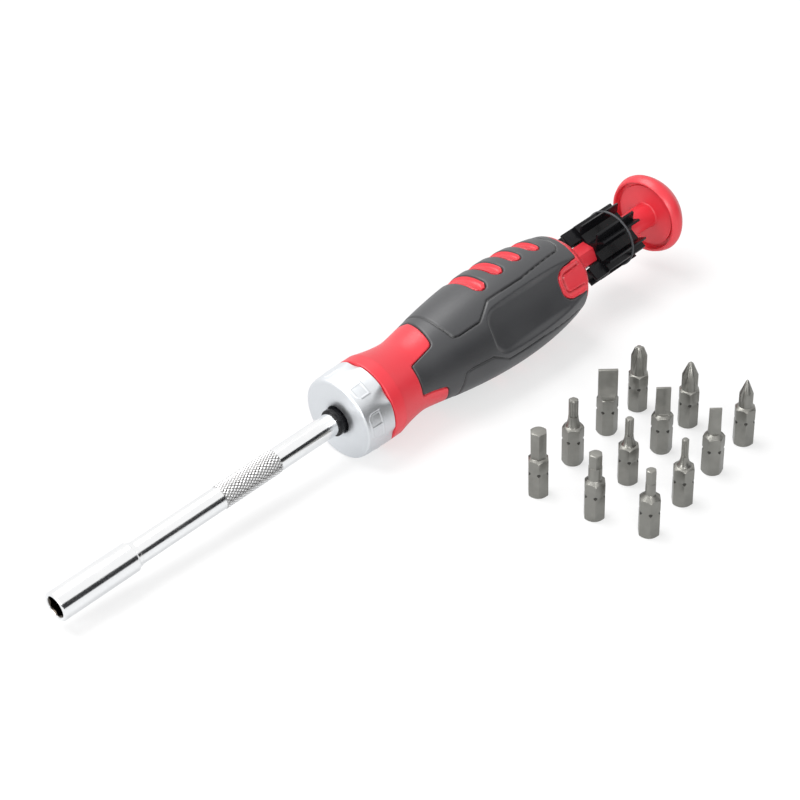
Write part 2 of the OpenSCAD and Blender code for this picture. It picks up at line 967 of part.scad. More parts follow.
// The mushroom cap: a cone that holds the carrier, a flat disc, a groove and a thin lip in
// front, and a dome behind
module end_cap() {
    lip_r = 0.5;
    lip_x = 14;
    disc_at = cap_rim + 1.7;
    disc_r = 12;
    hub_r = 4.9;
    groove_deep = 0.8;
    side_to = atan2(cap_dome_r - cap_rise, cap_side_x);
    color("#e0303a")
        lay()
            difference() {
                turned(concat(
                    [[0, carrier_to], [channel_floor_r - 0.1, carrier_to], [hub_r, disc_at]],
                    [[disc_r, disc_at], [disc_r, disc_at + groove_deep]],
                    [[lip_x - lip_r, disc_at + groove_deep]],
                    arc(lip_x, cap_rim + lip_r, lip_r, 180, 310),
                    [[cap_r - 0.25, cap_widest - 1.1]],
                    arc(cap_side_x, cap_widest, cap_side_r, 0, side_to),
                    arc(0, cap_end - cap_dome_r, cap_dome_r, side_to + 4, 86, 11),
                    [[0, cap_end]]
                ));
                translate([0, 0, carrier_to - 1])
                    cylinder(h = cap_rim - carrier_to + 1, r = spigot_r);
            }
}

// Bits

module bit_shank(top_r) {
    shoulder_h = (bit_r - top_r) / 1.1;
    difference() {
        intersection() {
            cylinder(h = bit_len, r = bit_r, $fn = 6);
            rotate_extrude()
                polygon([
                    [0, 0],
                    [bit_foot_r, 0],
                    [bit_r, bit_foot_h],
                    [bit_r, shank_len],
                    [top_r, shank_len + shoulder_h],
                    [0, shank_len + shoulder_h]
                ]);
        }
        rotate_extrude()
            translate([bit_r + bit_notch_r - bit_notch_deep, bit_notch_at])
                circle(r = bit_notch_r, $fn = 24);
    }
}

module hex_bit(tip_af, tip_len, neck_d) {
    tip_r = tip_af / sqrt3;
    edge = 0.35;
    bit_shank(max(neck_d / 2, tip_af / 2 - 0.1));
    cylinder(h = bit_len - tip_len, d = neck_d);
    intersection() {
        translate([0, 0, bit_len - tip_len])
            cylinder(h = tip_len, r = tip_r, $fn = 6);
        turned([[0, 0], [tip_r, 0], [tip_r, bit_len - edge], [tip_r - edge * 1.4, bit_len], [0, bit_len]]);
    }
}

// A neck that flares in a hollow curve from its own radius to the shoulder of the shank
function flare(neck_r, from, to, n = 6) =
    [for (i = [n:-1:0]) let (t = i / n) [neck_r + (flare_foot_r - neck_r) * t * t, to - (to - from) * t]];

module star_bit(tip_d) {
    tip_len = 6.4;
    tip_from = bit_len - tip_len;
    neck_r = tip_d / 2 + 0.05;
    lobe_r = tip_d * 0.15;
    edge = 0.3;
    bit_shank(flare_foot_r);
    turned(concat([[0, shank_len - 1]], flare(neck_r, shank_len + 0.5, tip_from), [[0, tip_from]]));
    difference() {
        turned([
            [0, tip_from - eps], [tip_d / 2, tip_from - eps], [tip_d / 2, bit_len - edge],
            [tip_d / 2 - edge, bit_len], [0, bit_len]
        ]);
        for (k = [0:5])
            rotate([0, 0, 60 * k])
                translate([tip_d / 2 + 0.06, 0, tip_from - 0.6])
                    cylinder(h = tip_len + 2, r = lobe_r, $fn = 24);
    }
}

// The blade is hollow ground: its two faces close in a curve towards a square edge
module slot_bit(blade_w, blade_t) {
    root_t = blade_w * 0.8;
    root_at = shank_len + 0.6;
    flat_len = 2.2;
    hollow = [for (t = [0:0.125:1])
        [blade_t / 2 + (root_t - blade_t) / 2 * pow(1 - t, 2), root_at + t * (bit_len - flat_len - root_at)]];
    bit_shank(min(blade_w / 2, bit_r - 0.4));
    intersection() {
        cylinder(h = bit_len, r = bit_r, $fn = 6);
        rotate([90, 0, 0])
            linear_extrude(height = 2 * bit_r, center = true)
                translate([-blade_w / 2, shank_len - 1])
                    square([blade_w, bit_len - shank_len + 1]);
        rotate([90, 0, 90])
            linear_extrude(height = 2 * bit_r, center = true)
                polygon(concat(
                    [[-root_t / 2, shank_len - 1], [root_t / 2, shank_len - 1]],
                    hollow,
                    [[blade_t / 2, bit_len], [-blade_t / 2, bit_len]],
                    [for (i = [len(hollow) - 1:-1:0]) [-hollow[i][0], hollow[i][1]]]
                ));
    }
}

// Four flutes run out along the body, and leave a cross at the point
module cross_bit(body_d, point_r, flank_h) {
    flute_slope = 13;
    core_r = 0.3 + point_r * 0.25;
    difference() {
        union() {
            bit_shank(body_d / 2 + 0.1);
            turned([
                [0, shank_len - 1],
                [body_d / 2, shank_len - 1],
                [body_d / 2, bit_len - flank_h],
                [point_r, bit_len - 0.4],
                [point_r * 0.5, bit_len],
                [0, bit_len]
            ]);
        }
        for (k = [0:3])
            rotate([0, 0, 45 + 90 * k])
                translate([core_r, 0, bit_len])
                    rotate([0, -flute_slope, 0])
                        rotate([0, 0, -45])
                            translate([0, 0, -body_d * 2])
                                cube([body_d, body_d, body_d * 2 + 2]);
    }
}

module bit_hex_large() {
    color("gray")
        stand(hex_stand[0], corner_to_view)
            hex_bit(5, 9.8, 4.6);
}

module bit_hex_medium() {
    color("gray")
        stand(hex_stand[1], corner_to_view)
            hex_bit(4, 5, 4.4);
}

module bit_hex_small() {
    color("gray")
        stand(hex_stand[2], corner_to_view)
            hex_bit(3, 5, 3.3);
}

module bit_star_large() {
    color("gray")
        stand(star_stand[0], flat_to_view)
            star_bit(3.3);
}

module bit_star_medium() {
    color("gray")
        stand(star_stand[1], corner_to_view)
            star_bit(2.8);
}

module bit_star_small() {
    color("gray")
        stand(star_stand[2], corner_to_view)
            star_bit(2.3);
}

module bit_slot_large() {
    color("gray")
        stand(slot_stand[0], blade_to_view)
            slot_bit(6.5, 1.2);
}

module bit_slot_medium() {
    color("gray")
        stand(slot_stand[1], blade_to_view)
            slot_bit(4.8, 0.9);
}

module bit_slot_small() {
    color("gray")
        stand(slot_stand[2], blade_to_view)
            slot_bit(4, 0.7);
}

module bit_cross_large() {
    color("gray")
        stand(cross_stand[0], corner_to_view)
            cross_bit(5.5, 1.6, 3.4);
}

module bit_cross_medium() {
    color("gray")
        stand(cross_stand[1], corner_to_view)
            cross_bit(5.5, 0.9, 4.8);
}

module bit_cross_small() {
    color("gray")
        stand(cross_stand[2], corner_to_view)
            cross_bit(4.7, 0.5, 5.2);
}

driver_shaft();
socket_sleeve();
socket_magnet();
nose_bush();
selector_ring();
ring_retainer();
ratchet_housing();
housing_cover();
ratchet_gear();
pawl_left();
pawl_right();
pawl_pins();
pawl_spring_left();
pawl_spring_right();
click_ball();
click_spring();
thrust_washer();
rear_bush();
shaft_circlip();
handle_core();
soft_grip();
magazine_stem();
stem_clip();
bit_carrier();
retaining_band();
end_cap();
bit_hex_large();
bit_hex_medium();
bit_hex_small();
bit_star_large();
bit_star_medium();
bit_star_small();
bit_slot_large();
bit_slot_medium();
bit_slot_small();
bit_cross_large();
bit_cross_medium();
bit_cross_small();
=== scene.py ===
# %% [markdown]
# # A ratcheting screwdriver with its bit magazine pulled out
# The driver lies on its side: a chromed shaft, a silver selector ring, a red and black two-shot
# handle, and behind it a black bit carrier on a red stem and cap. Twelve loose bits stand in front.
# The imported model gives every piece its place, so the first cell only loads it and keeps its box.

import json
import math

import bpy
import numpy as np
from mathutils import Matrix, Vector


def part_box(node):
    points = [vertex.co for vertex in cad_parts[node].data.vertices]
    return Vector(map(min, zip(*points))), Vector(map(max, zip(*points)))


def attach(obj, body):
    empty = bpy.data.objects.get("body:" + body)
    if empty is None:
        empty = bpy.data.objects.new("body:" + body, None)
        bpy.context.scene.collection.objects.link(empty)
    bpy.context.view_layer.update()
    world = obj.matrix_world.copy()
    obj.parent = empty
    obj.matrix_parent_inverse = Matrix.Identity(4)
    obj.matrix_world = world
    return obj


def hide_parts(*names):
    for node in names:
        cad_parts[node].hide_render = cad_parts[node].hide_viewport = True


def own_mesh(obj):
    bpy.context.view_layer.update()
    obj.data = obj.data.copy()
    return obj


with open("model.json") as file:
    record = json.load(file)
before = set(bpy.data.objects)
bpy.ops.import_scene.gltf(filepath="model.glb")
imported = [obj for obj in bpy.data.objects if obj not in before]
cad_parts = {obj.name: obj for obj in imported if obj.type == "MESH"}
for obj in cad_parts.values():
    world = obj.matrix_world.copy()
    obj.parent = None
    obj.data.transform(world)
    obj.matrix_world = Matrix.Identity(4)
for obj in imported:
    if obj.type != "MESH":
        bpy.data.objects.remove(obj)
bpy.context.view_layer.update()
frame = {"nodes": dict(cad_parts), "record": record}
print("packed nodes:", len(frame["nodes"]))

# %% [markdown]
# ## The driver's own axes
# A turned piece is easiest to make upright, with its height read as the station from the tip. The
# driver lies nose down, though, so one matrix lays each finished piece in place. It is built from
# the bit socket's mount, which says where the tip is and which way the shaft points.

# %% Axes of the lying driver
MM = 0.001


def axes_matrix(x_axis, y_axis, z_axis, origin):
    # Carries an upright thing to these axes, with its own origin at this point
    made = Matrix((x_axis, y_axis, z_axis)).transposed().to_4x4()
    made.translation = origin
    return made


mounts = {m["name"]: m for m in frame["record"]["mounts"]}
tip = Vector(mounts["bit_socket"]["pos_m"])
along = -Vector(mounts["bit_socket"]["axis"]).normalized()
sideways = Vector((0, -1, 0))
upwards = sideways.cross(along)
LAY = axes_matrix(upwards, sideways, along, tip)
print("nose-down tilt in degrees:", round(math.degrees(math.asin(along.z)), 2))

# %% [markdown]
# ## Camera
# The photograph looks down at the driver from in front of its left side, with a long lens. The
# place of the camera and the point that it looks at are real distances, worked out by fitting the
# standard 25 mm bits and the round parts, and the small roll is the photographer's.

# %% Camera
CAMERA_PLACE = Vector((-369.4, -344.05, 385.36)) * MM
CAMERA_AIM = Vector((9.12, 50.96, 0)) * MM
CAMERA_LENS = 86.67
CAMERA_ROLL = math.radians(-2.54)
CAMERA_NEAREST = 0.01

look = (CAMERA_AIM - CAMERA_PLACE).normalized()
right = look.cross(Vector((0, 0, 1))).normalized()
above = right.cross(look)
cam_x = right * math.cos(CAMERA_ROLL) + above * math.sin(CAMERA_ROLL)
cam_y = above * math.cos(CAMERA_ROLL) - right * math.sin(CAMERA_ROLL)
bpy.ops.object.camera_add(location=CAMERA_PLACE)
camera = bpy.context.object
camera.matrix_world = axes_matrix(cam_x, cam_y, -look, CAMERA_PLACE)
camera.data.lens = CAMERA_LENS
camera.data.clip_start = CAMERA_NEAREST
bpy.context.scene.camera = camera
bpy.context.scene.view_settings.view_transform = "Standard"
print("camera distance in mm:", round((CAMERA_AIM - CAMERA_PLACE).length / MM))

# %% [markdown]
# ## Colours and nodes
# Colours are picked as sRGB hex values, but shaders count in linear light, so one function turns
# them. One more adds a shader node with its settings and links, which keeps each finish short,
# and a third starts a finish from its mean colour, its metallic value and its roughness.

# %% Helpers for colours and nodes
def linear(code, alpha=1.0):
    values = [int(code[i:i + 2], 16) / 255 for i in (1, 3, 5)]
    return [v / 12.92 if v <= 0.04045 else ((v + 0.055) / 1.055) ** 2.4 for v in values] + [alpha]


def add_node(tree, kind, inputs=None, **settings):
    made = tree.nodes.new(kind)
    for key, value in settings.items():
        setattr(made, key, value)
    for key, value in (inputs or {}).items():
        if isinstance(value, bpy.types.NodeSocket):
            tree.links.new(value, made.inputs[key])
        else:
            made.inputs[key].default_value = value
    return made


def new_finish(name, base, metallic, roughness):
    # Base and roughness are mean values, which show where nothing is linked over them
    finish = bpy.data.materials.new(name)
    finish.use_nodes = True
    shader = finish.node_tree.nodes["Principled BSDF"]
    shader.inputs["Base Color"].default_value = linear(base)
    shader.inputs["Metallic"].default_value = metallic
    shader.inputs["Roughness"].default_value = roughness
    return finish, finish.node_tree, shader


print("mid grey in linear light:", round(linear("#808080")[0], 3))

# %% [markdown]
# ## Patterns at their real size
# A real surface is never quite even, so every pattern starts from a soft noise, whose blobs have
# a size in millimetres. It is read from the piece's own coordinates, which keeps it in place as
# the piece moves, and it is then spread over a colour, a roughness or a height.

# %% Helpers for patterns on a surface
NOISE_LOW, NOISE_HIGH = 0.3, 0.7


def place_in_mm(tree):
    # Object coordinates are metres, so a scale of 1000 makes every pattern's size read in mm. The
    # rotation is the driver's own small tilt.
    coords = add_node(tree, "ShaderNodeTexCoord")
    return add_node(tree, "ShaderNodeMapping", {
        "Vector": coords.outputs["Object"], "Scale": (1 / MM, 1 / MM, 1 / MM),
        "Rotation": (0, math.asin(along.z), 0),
    }).outputs["Vector"]


def grain(tree, where, size_mm, detail=3.0, stretch=(1, 1, 1)):
    # Noise with blobs of about this size; a stretch under 1 draws them out to lines on that axis
    scale = [k / size_mm for k in stretch]
    sized = add_node(tree, "ShaderNodeMapping", {"Vector": where, "Scale": scale})
    return add_node(tree, "ShaderNodeTexNoise", {
        "Vector": sized.outputs["Vector"], "Scale": 1.0, "Detail": detail,
    }).outputs["Fac"]


def vary_roughness(tree, shader, source, low, high):
    # Most of a noise lies between NOISE_LOW and NOISE_HIGH
    spread = add_node(tree, "ShaderNodeMapRange", {
        "Value": source, "From Min": NOISE_LOW, "From Max": NOISE_HIGH, "To Min": low, "To Max": high,
    })
    tree.links.new(spread.outputs["Result"], shader.inputs["Roughness"])


def mix_colours(tree, share, first, second):
    # Inputs 6 and 7 of a Mix node are its two colours, and output 2 is the mixed colour
    mixed = add_node(tree, "ShaderNodeMix", {"Factor": share, 6: first, 7: second}, data_type="RGBA")
    return mixed.outputs[2]


def tint(tree, shader, source, dark, light):
    colour = mix_colours(tree, source, linear(dark), linear(light))
    tree.links.new(colour, shader.inputs["Base Color"])


def darken_cut(tree, shader, dark):
    # Painted shade: where the piece's own marking attribute is 1, in grooves and recesses, its colour
    # is darkened to stand in for the shade there
    cut = add_node(tree, "ShaderNodeAttribute", attribute_name="cut").outputs["Fac"]
    plain = shader.inputs["Base Color"].links[0].from_socket
    tree.links.new(mix_colours(tree, cut, plain, linear(dark)), shader.inputs["Base Color"])


def bump(tree, shader, source, height_mm, strength=1.0):
    relief = add_node(tree, "ShaderNodeBump", {
        "Height": source, "Distance": height_mm * MM, "Strength": strength,
    })
    tree.links.new(relief.outputs["Normal"], shader.inputs["Normal"])


print("most of a noise lies between", NOISE_LOW, "and", NOISE_HIGH)

# %% [markdown]
# ## Chrome plate
# The shaft and bit socket are steel under bright nickel-chrome plate. Polishing leaves very fine
# lines round the piece, drawn here 0.4 mm apart, which is coarser than real so that they show.
# Chrome is a metal, so its look is mostly what it reflects. Its roughness stays low, and wanders
# a little in clouds 9 mm wide, as on plate that has been handled.

# %% Finish: bright chrome plate
def chrome_plate():
    finish, tree, shader = new_finish("bright_chrome_plate", "#F6F7F7", 1.0, 0.17)
    where = place_in_mm(tree)
    lines = grain(tree, where, 0.4, stretch=(1.0, 0.08, 0.08))
    clouds = grain(tree, where, 9.0)
    vary_roughness(tree, shader, clouds, 0.14, 0.2)
    tint(tree, shader, clouds, "#F2F3F4", "#FAFAFA")
    # Painted shade darkens the socket's recess and the knurl's valleys, where they are marked
    darken_cut(tree, shader, "#4A443E")
    bump(tree, shader, lines, 0.003)
    return finish


CHROME = chrome_plate()
print("made", CHROME.name)

# %% [markdown]
# ## Satin silver on the selector ring
# The ring is a zinc casting with a satin, pearl-like plate: softer than the shaft, with a fine
# blasted grain about 0.25 mm across that breaks up the highlights.

# %% Finish: satin plate
def satin_plate():
    finish, tree, shader = new_finish("satin_silver_plate", "#E0E2E5", 1.0, 0.42)
    where = place_in_mm(tree)
    sand = grain(tree, where, 0.25, detail=4.0)
    clouds = grain(tree, where, 6.0)
    vary_roughness(tree, shader, clouds, 0.38, 0.46)
    tint(tree, shader, sand, "#D6D9DD", "#E8EAEC")
    # Painted shade for marked points; the ring is built without marks
    darken_cut(tree, shader, "#8E9398")
    bump(tree, shader, sand, 0.02, 0.7)
    return finish


SATIN = satin_plate()
print("made", SATIN.name)

# %% [markdown]
# ## Red moulded ABS
# The hard core, stem and cap are red ABS from a lightly spark-eroded mould. The eye sees an even
# red with a broad soft sheen, so the roughness is middling and the grain is about 0.35 mm. A
# little light also travels inside the plastic, the red part of it about 1.2 mm.

# %% Finish: red ABS
def red_abs():
    finish, tree, shader = new_finish("red_moulded_abs", "#D42E3A", 0.0, 0.38)
    where = place_in_mm(tree)
    spark = grain(tree, where, 0.35, detail=4.0)
    flow = grain(tree, where, 12.0)
    vary_roughness(tree, shader, spark, 0.33, 0.44)
    tint(tree, shader, flow, "#D02B37", "#D8313D")
    # Painted shade, a deep red, in the marked groove round each inset's island
    darken_cut(tree, shader, "#9E1620")
    bump(tree, shader, spark, 0.018, 0.6)
    shader.inputs["Specular IOR Level"].default_value = 0.65
    shader.inputs["Subsurface Weight"].default_value = 0.08
    shader.inputs["Subsurface Radius"].default_value = (1.2 * MM, 0.4 * MM, 0.3 * MM)
    return finish


RED = red_abs()
print("made", RED.name)

# %% [markdown]
# ## Black thermoplastic rubber
# The soft grip is moulded over the core in a matt rubber. Its mould is textured like fine leather,
# about 0.3 mm. In the photograph a grey veil of light lies on the black, so the specular level is
# raised well above a plain plastic's, and a little sheen is added.

# %% Finish: soft black rubber
def grip_rubber():
    finish, tree, shader = new_finish("soft_grip_rubber", "#1E1F22", 0.0, 0.47)
    where = place_in_mm(tree)
    leather = grain(tree, where, 0.3, detail=5.0)
    handling = grain(tree, where, 14.0)
    vary_roughness(tree, shader, handling, 0.42, 0.52)
    tint(tree, shader, leather, "#18191C", "#232428")
    # Painted shade, nearly black, in the panels' grooves and along the seam at the red
    darken_cut(tree, shader, "#030304")
    bump(tree, shader, leather, 0.02, 0.7)
    shader.inputs["Specular IOR Level"].default_value = 0.95
    shader.inputs["Sheen Weight"].default_value = 0.08
    shader.inputs["Sheen Roughness"].default_value = 0.5
    return finish


RUBBER = grip_rubber()
print("made", RUBBER.name)

# %% [markdown]
# ## Black nylon
# The bit carrier and the nose collar are filled black nylon: deep black with a satin gloss, and a
# faint mottling from the glass in it. The photograph shows them nearly black in the same light
# that greys the rubber, so their specular level is low.

# %% Finish: black nylon
def black_nylon():
    finish, tree, shader = new_finish("black_filled_nylon", "#101013", 0.0, 0.28)
    where = place_in_mm(tree)
    mottle = grain(tree, where, 1.2, detail=5.0)
    vary_roughness(tree, shader, mottle, 0.22, 0.34)
    tint(tree, shader, mottle, "#0B0B0D", "#151518")
    bump(tree, shader, mottle, 0.012, 0.5)
    shader.inputs["Specular IOR Level"].default_value = 0.2
    return finish


NYLON = black_nylon()
print("made", NYLON.name)

# %% [markdown]
# ## Satin bit steel
# Bits are hardened steel, tumbled and nickel-finished to an even warm grey. The tumbling leaves a
# fine sandy grain, about 0.15 mm, and slightly brighter and darker patches.

# %% Finish: bit steel
def bit_steel():
    finish, tree, shader = new_finish("tumbled_bit_steel", "#8C8B86", 1.0, 0.36)
    where = place_in_mm(tree)
    sand = grain(tree, where, 0.15, detail=4.0)
    patches = grain(tree, where, 3.5)
    vary_roughness(tree, shader, patches, 0.3, 0.42)
    tint(tree, shader, patches, "#7F7E79", "#989792")
    # Painted shade in the marked notches
    darken_cut(tree, shader, "#4A4946")
    bump(tree, shader, sand, 0.014, 0.8)
    return finish


BIT_STEEL = bit_steel()
print("made", BIT_STEEL.name)

# %% [markdown]
# ## Inner metals and the band's rubber
# The housing is die-cast zinc with a coarse skin, and the gear and pawls are dark, oiled steel.
# Springs and rings are drawn bright wire, the bushes are sintered bronze with a fine open grain,
# and the magnet is nickel-plated. The band round the carrier is dull black rubber. These pieces
# are small or hidden, so one function makes them all from a colour, a roughness and a grain size.

# %% Finishes: inner metals and the band's rubber
# How far the roughness goes below and above its named value
SMOOTHER, ROUGHER = 0.06, 0.08


def small_finish(name, dark, light, roughness, grain_mm, metallic=1.0):
    finish, tree, shader = new_finish(name, light, metallic, roughness)
    where = place_in_mm(tree)
    texture = grain(tree, where, grain_mm, detail=4.0)
    vary_roughness(tree, shader, texture, roughness - SMOOTHER, roughness + ROUGHER)
    tint(tree, shader, texture, dark, light)
    bump(tree, shader, texture, 0.01, 0.6)
    return finish


ZINC = small_finish("die_cast_zinc", "#83868B", "#9FA2A6", 0.5, 0.5)
HARD_STEEL = small_finish("oiled_gear_steel", "#4E4F52", "#6A6B6E", 0.33, 0.3)
WIRE = small_finish("drawn_spring_wire", "#A6A8AB", "#C2C4C6", 0.25, 0.2)
BRONZE = small_finish("sintered_bronze", "#8C6434", "#B58950", 0.45, 0.25)
NICKEL = small_finish("nickel_plated_magnet", "#AAA9A5", "#C7C6C2", 0.2, 0.6)
BAND = small_finish("black_band_rubber", "#2C2D30", "#3E4044", 0.5, 0.3, metallic=0.0)
print("made the small finishes")

# %% [markdown]
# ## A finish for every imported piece
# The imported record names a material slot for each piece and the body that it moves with. One table
# gives each slot its finish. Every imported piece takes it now, and most of them are modelled anew
# below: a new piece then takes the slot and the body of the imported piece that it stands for.

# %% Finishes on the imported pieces
SLOT_FINISH = {
    "chrome": CHROME, "ring_silver": SATIN, "red_plastic": RED, "black_grip": RUBBER,
    "black_plastic": NYLON, "band_rubber": BAND, "zinc": ZINC, "tool_steel": HARD_STEEL,
    "spring_steel": WIRE, "bronze": BRONZE, "magnet": NICKEL, "bit_steel": BIT_STEEL,
}
SLOT_OF = {p["node"]: p["material_slot"] for p in frame["record"]["subparts"]}
BODY_OF = {n: body for body, names in frame["record"]["behaviour"]["bodies"].items() for n in names}
for name, piece in frame["nodes"].items():
    piece.data.materials.clear()
    piece.data.materials.append(SLOT_FINISH[SLOT_OF[name]])
print("slots with a finish:", len(SLOT_FINISH))

# %% [markdown]
# ## Turning
# Operators act on whatever is selected, so every step starts from nothing selected. Turned pieces
# are made the way a lathe hand thinks: one ring of points, extruded from station to station and
# scaled to the next radius. A Screw modifier would turn a profile too, but here each step can be
# followed as by hand.

# %% Helpers for turned pieces
# Points of a new piece that are closer than this become one
MERGE = 0.002 * MM


def only(piece):
    bpy.ops.object.select_all(action="DESELECT")
    piece.select_set(True)
    bpy.context.view_layer.objects.active = piece


def in_edit(piece):
    only(piece)
    bpy.ops.object.mode_set(mode="EDIT")
    bpy.ops.mesh.select_all(action="SELECT")


def out_of_edit():
    bpy.ops.object.mode_set(mode="OBJECT")


def turned(name, profile, sides):
    # profile is a closed line of (radius, station) in mm, walked once round the wall
    radius, station = profile[0]
    bpy.ops.object.select_all(action="DESELECT")
    bpy.ops.mesh.primitive_circle_add(vertices=sides, radius=radius * MM, location=(0, 0, 0))
    piece = bpy.context.object
    piece.name = name
    in_edit(piece)
    bpy.ops.transform.translate(value=(0, 0, station * MM))
    for next_radius, next_station in profile[1:] + profile[:1]:
        rise = (next_station - station) * MM
        scale = next_radius / radius
        bpy.ops.mesh.extrude_region_move(TRANSFORM_OT_translate={"value": (0, 0, rise)})
        bpy.ops.transform.resize(value=(scale, scale, 1), center_override=(0, 0, next_station * MM))
        radius, station = next_radius, next_station
    bpy.ops.mesh.select_all(action="SELECT")
    bpy.ops.mesh.remove_doubles(threshold=MERGE)
    bpy.ops.mesh.normals_make_consistent(inside=False)
    out_of_edit()
    return piece


print("points merge within mm:", round(MERGE / MM, 4))

# %% [markdown]
# ## Finishing a piece
# A modifier is applied at once, so that the mesh itself holds its result. A piece that was made
# upright has its gentle edges shaded smooth, is laid in its place, and is handed over: it then
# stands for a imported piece, and moves with that piece's body.

# %% Helpers for finished pieces
def add_modifier(piece, kind, **settings):
    only(piece)
    made = piece.modifiers.new(kind.lower(), kind)
    for key, value in settings.items():
        setattr(made, key, value)
    bpy.ops.object.modifier_apply(modifier=made.name)


def smooth(piece, degrees):
    only(piece)
    bpy.ops.object.shade_smooth_by_angle(angle=math.radians(degrees))


def lay(piece, place=LAY):
    # Carries an upright piece to its place, and applies that, so that its mesh holds the place
    only(piece)
    piece.matrix_world = place
    bpy.ops.object.transform_apply(location=True, rotation=True, scale=True)


def hand_over(piece, node):
    # The piece takes the finish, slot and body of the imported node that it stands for
    piece.name = node + "_detail"
    piece.data.name = piece.name
    piece.data.materials.clear()
    piece.data.materials.append(SLOT_FINISH[SLOT_OF[node]])
    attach(piece, BODY_OF[node])
    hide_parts(node)
    print(piece.name, "has", len(piece.data.polygons), "faces")


print("packed pieces that can be stood for:", len(SLOT_OF))

# %% [markdown]
# ## Crisp copies
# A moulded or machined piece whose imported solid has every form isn't modelled again. Its mesh is
# copied, the copy's loose triangles are joined, and its sharp edges get a small bevel that
# catches the light, as real edges do.

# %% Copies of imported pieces
# Points of a copy that are closer than this become one
COPY_MERGE = 0.001 * MM
# Faces that turn less than the first angle join, and edges that turn less than the second are
# shaded smooth, in degrees
COPY_FLAT, COPY_SMOOTH = 0.5, 32


def crisp_copy(node, width_mm, segments, angle=30):
    # Edges that turn more than the angle, in degrees, are bevelled to this width
    piece = frame["nodes"][node].copy()
    piece.data = piece.data.copy()
    piece.parent = None
    for key in list(piece.keys()):
        del piece[key]
    bpy.context.scene.collection.objects.link(piece)
    in_edit(piece)
    bpy.ops.mesh.remove_doubles(threshold=COPY_MERGE)
    bpy.ops.mesh.dissolve_limited(angle_limit=math.radians(COPY_FLAT))
    out_of_edit()
    add_modifier(piece, "BEVEL", width=width_mm * MM, segments=segments, limit_method="ANGLE",
                 angle_limit=math.radians(angle), harden_normals=False)
    smooth(piece, COPY_SMOOTH)
    return piece


print("faces of a copy join below degrees:", COPY_FLAT)

# %% [markdown]
# ## Bit socket
# The socket is a turned tube with a small chamfer at its mouth, a rounded step down to the shaft
# and a broached hexagon inside. The imported solid already has the broached recess, so a copy of it
# gets fine rounded edges, which draw the bright ring at the mouth. A recess sees little light, so
# its points are marked, and the chrome finish paints shade there.

# %% Bit socket
RECESS_R, RECESS_FROM = 3.9, 0.3


def points_of(piece):
    flat = np.empty(len(piece.data.vertices) * 3)
    piece.data.vertices.foreach_get("co", flat)
    return flat.reshape(-1, 3)


def from_axis(points):
    # Distance from the driver's axis and station along it, in mm, of points in place
    from_tip = points - np.array(tip)
    station = from_tip @ np.array(along)
    away = np.linalg.norm(from_tip - np.outer(station, np.array(along)), axis=1)
    return away / MM, station / MM


def mark_cut(piece, domain, values):
    # Marks where painted shade darkens the colour, from 0 to 1
    layer = piece.data.attributes.new("cut", "FLOAT", domain)
    layer.data.foreach_set("value", np.asarray(values, float))


sleeve = crisp_copy("socket_sleeve", 0.12, 3, angle=25)
away, station = from_axis(points_of(sleeve))
# Painted shade inside the hexagon recess
mark_cut(sleeve, "POINT", (away < RECESS_R) & (station > RECESS_FROM))
hand_over(sleeve, "socket_sleeve")

# %% [markdown]
# ## Collar, stem and bit carrier
# The nose collar is a small turned bush, the stem a moulded hexagon rod and the carrier a ribbed
# moulding with six channels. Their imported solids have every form, and a moulding has no sharp
# edge, so copies of them only get their edges rounded. The stem's are the widest, as on the real
# one. On the carrier a bevel starts at 40 degrees, so that its channels' own facets stay smooth.

# %% Collar, stem and bit carrier
hand_over(crisp_copy("nose_bush", 0.1, 2), "nose_bush")
hand_over(crisp_copy("magazine_stem", 0.25, 3), "magazine_stem")
hand_over(crisp_copy("bit_carrier", 0.1, 2, angle=40), "bit_carrier")

# %% [markdown]
# ## End cap
# The cap is one red moulding: a dome with a round side, a rolled lip in front, a sunk ring inside
# the lip, and a hub that the stem's spigot is pressed into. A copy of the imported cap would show
# its flat facets on the dome. All of it is round, though, so its wall is turned in one go, and a
# small function works out the arcs of the lip, side and dome.

# %% End cap
CAP_RIM, CAP_R, CAP_SIDE_R = 276.0, 15.4, 3.5
CAP_WIDEST, CAP_END = CAP_RIM + 3, CAP_RIM + 13
# The side is this much narrower, this far in front of its widest place
CAP_FLARE, CAP_FLARE_LONG = 0.25, 1.1
CAP_LIP_R, CAP_LIP_AWAY = 0.5, 14.0
DISC_R, DISC_AT, DISC_GROOVE, DISC_DRAFT = 12.0, CAP_RIM + 1.7, 0.8, 0.1
HUB_FROM, HUB_FRONT_R, HUB_R, HUB_FILLET, SPIGOT_R = 264.4, 4.4, 4.9, 0.6, 3.0
CAP_SIDES = 128
# The dome's wall stops this close to the axis, where its points merge into one
ON_AXIS = 0.0004


def arc(away, station, radius, from_degrees, to_degrees, steps):
    turns = np.radians(np.linspace(from_degrees, to_degrees, steps + 1))
    return [(away + radius * math.cos(t), station + radius * math.sin(t)) for t in turns]


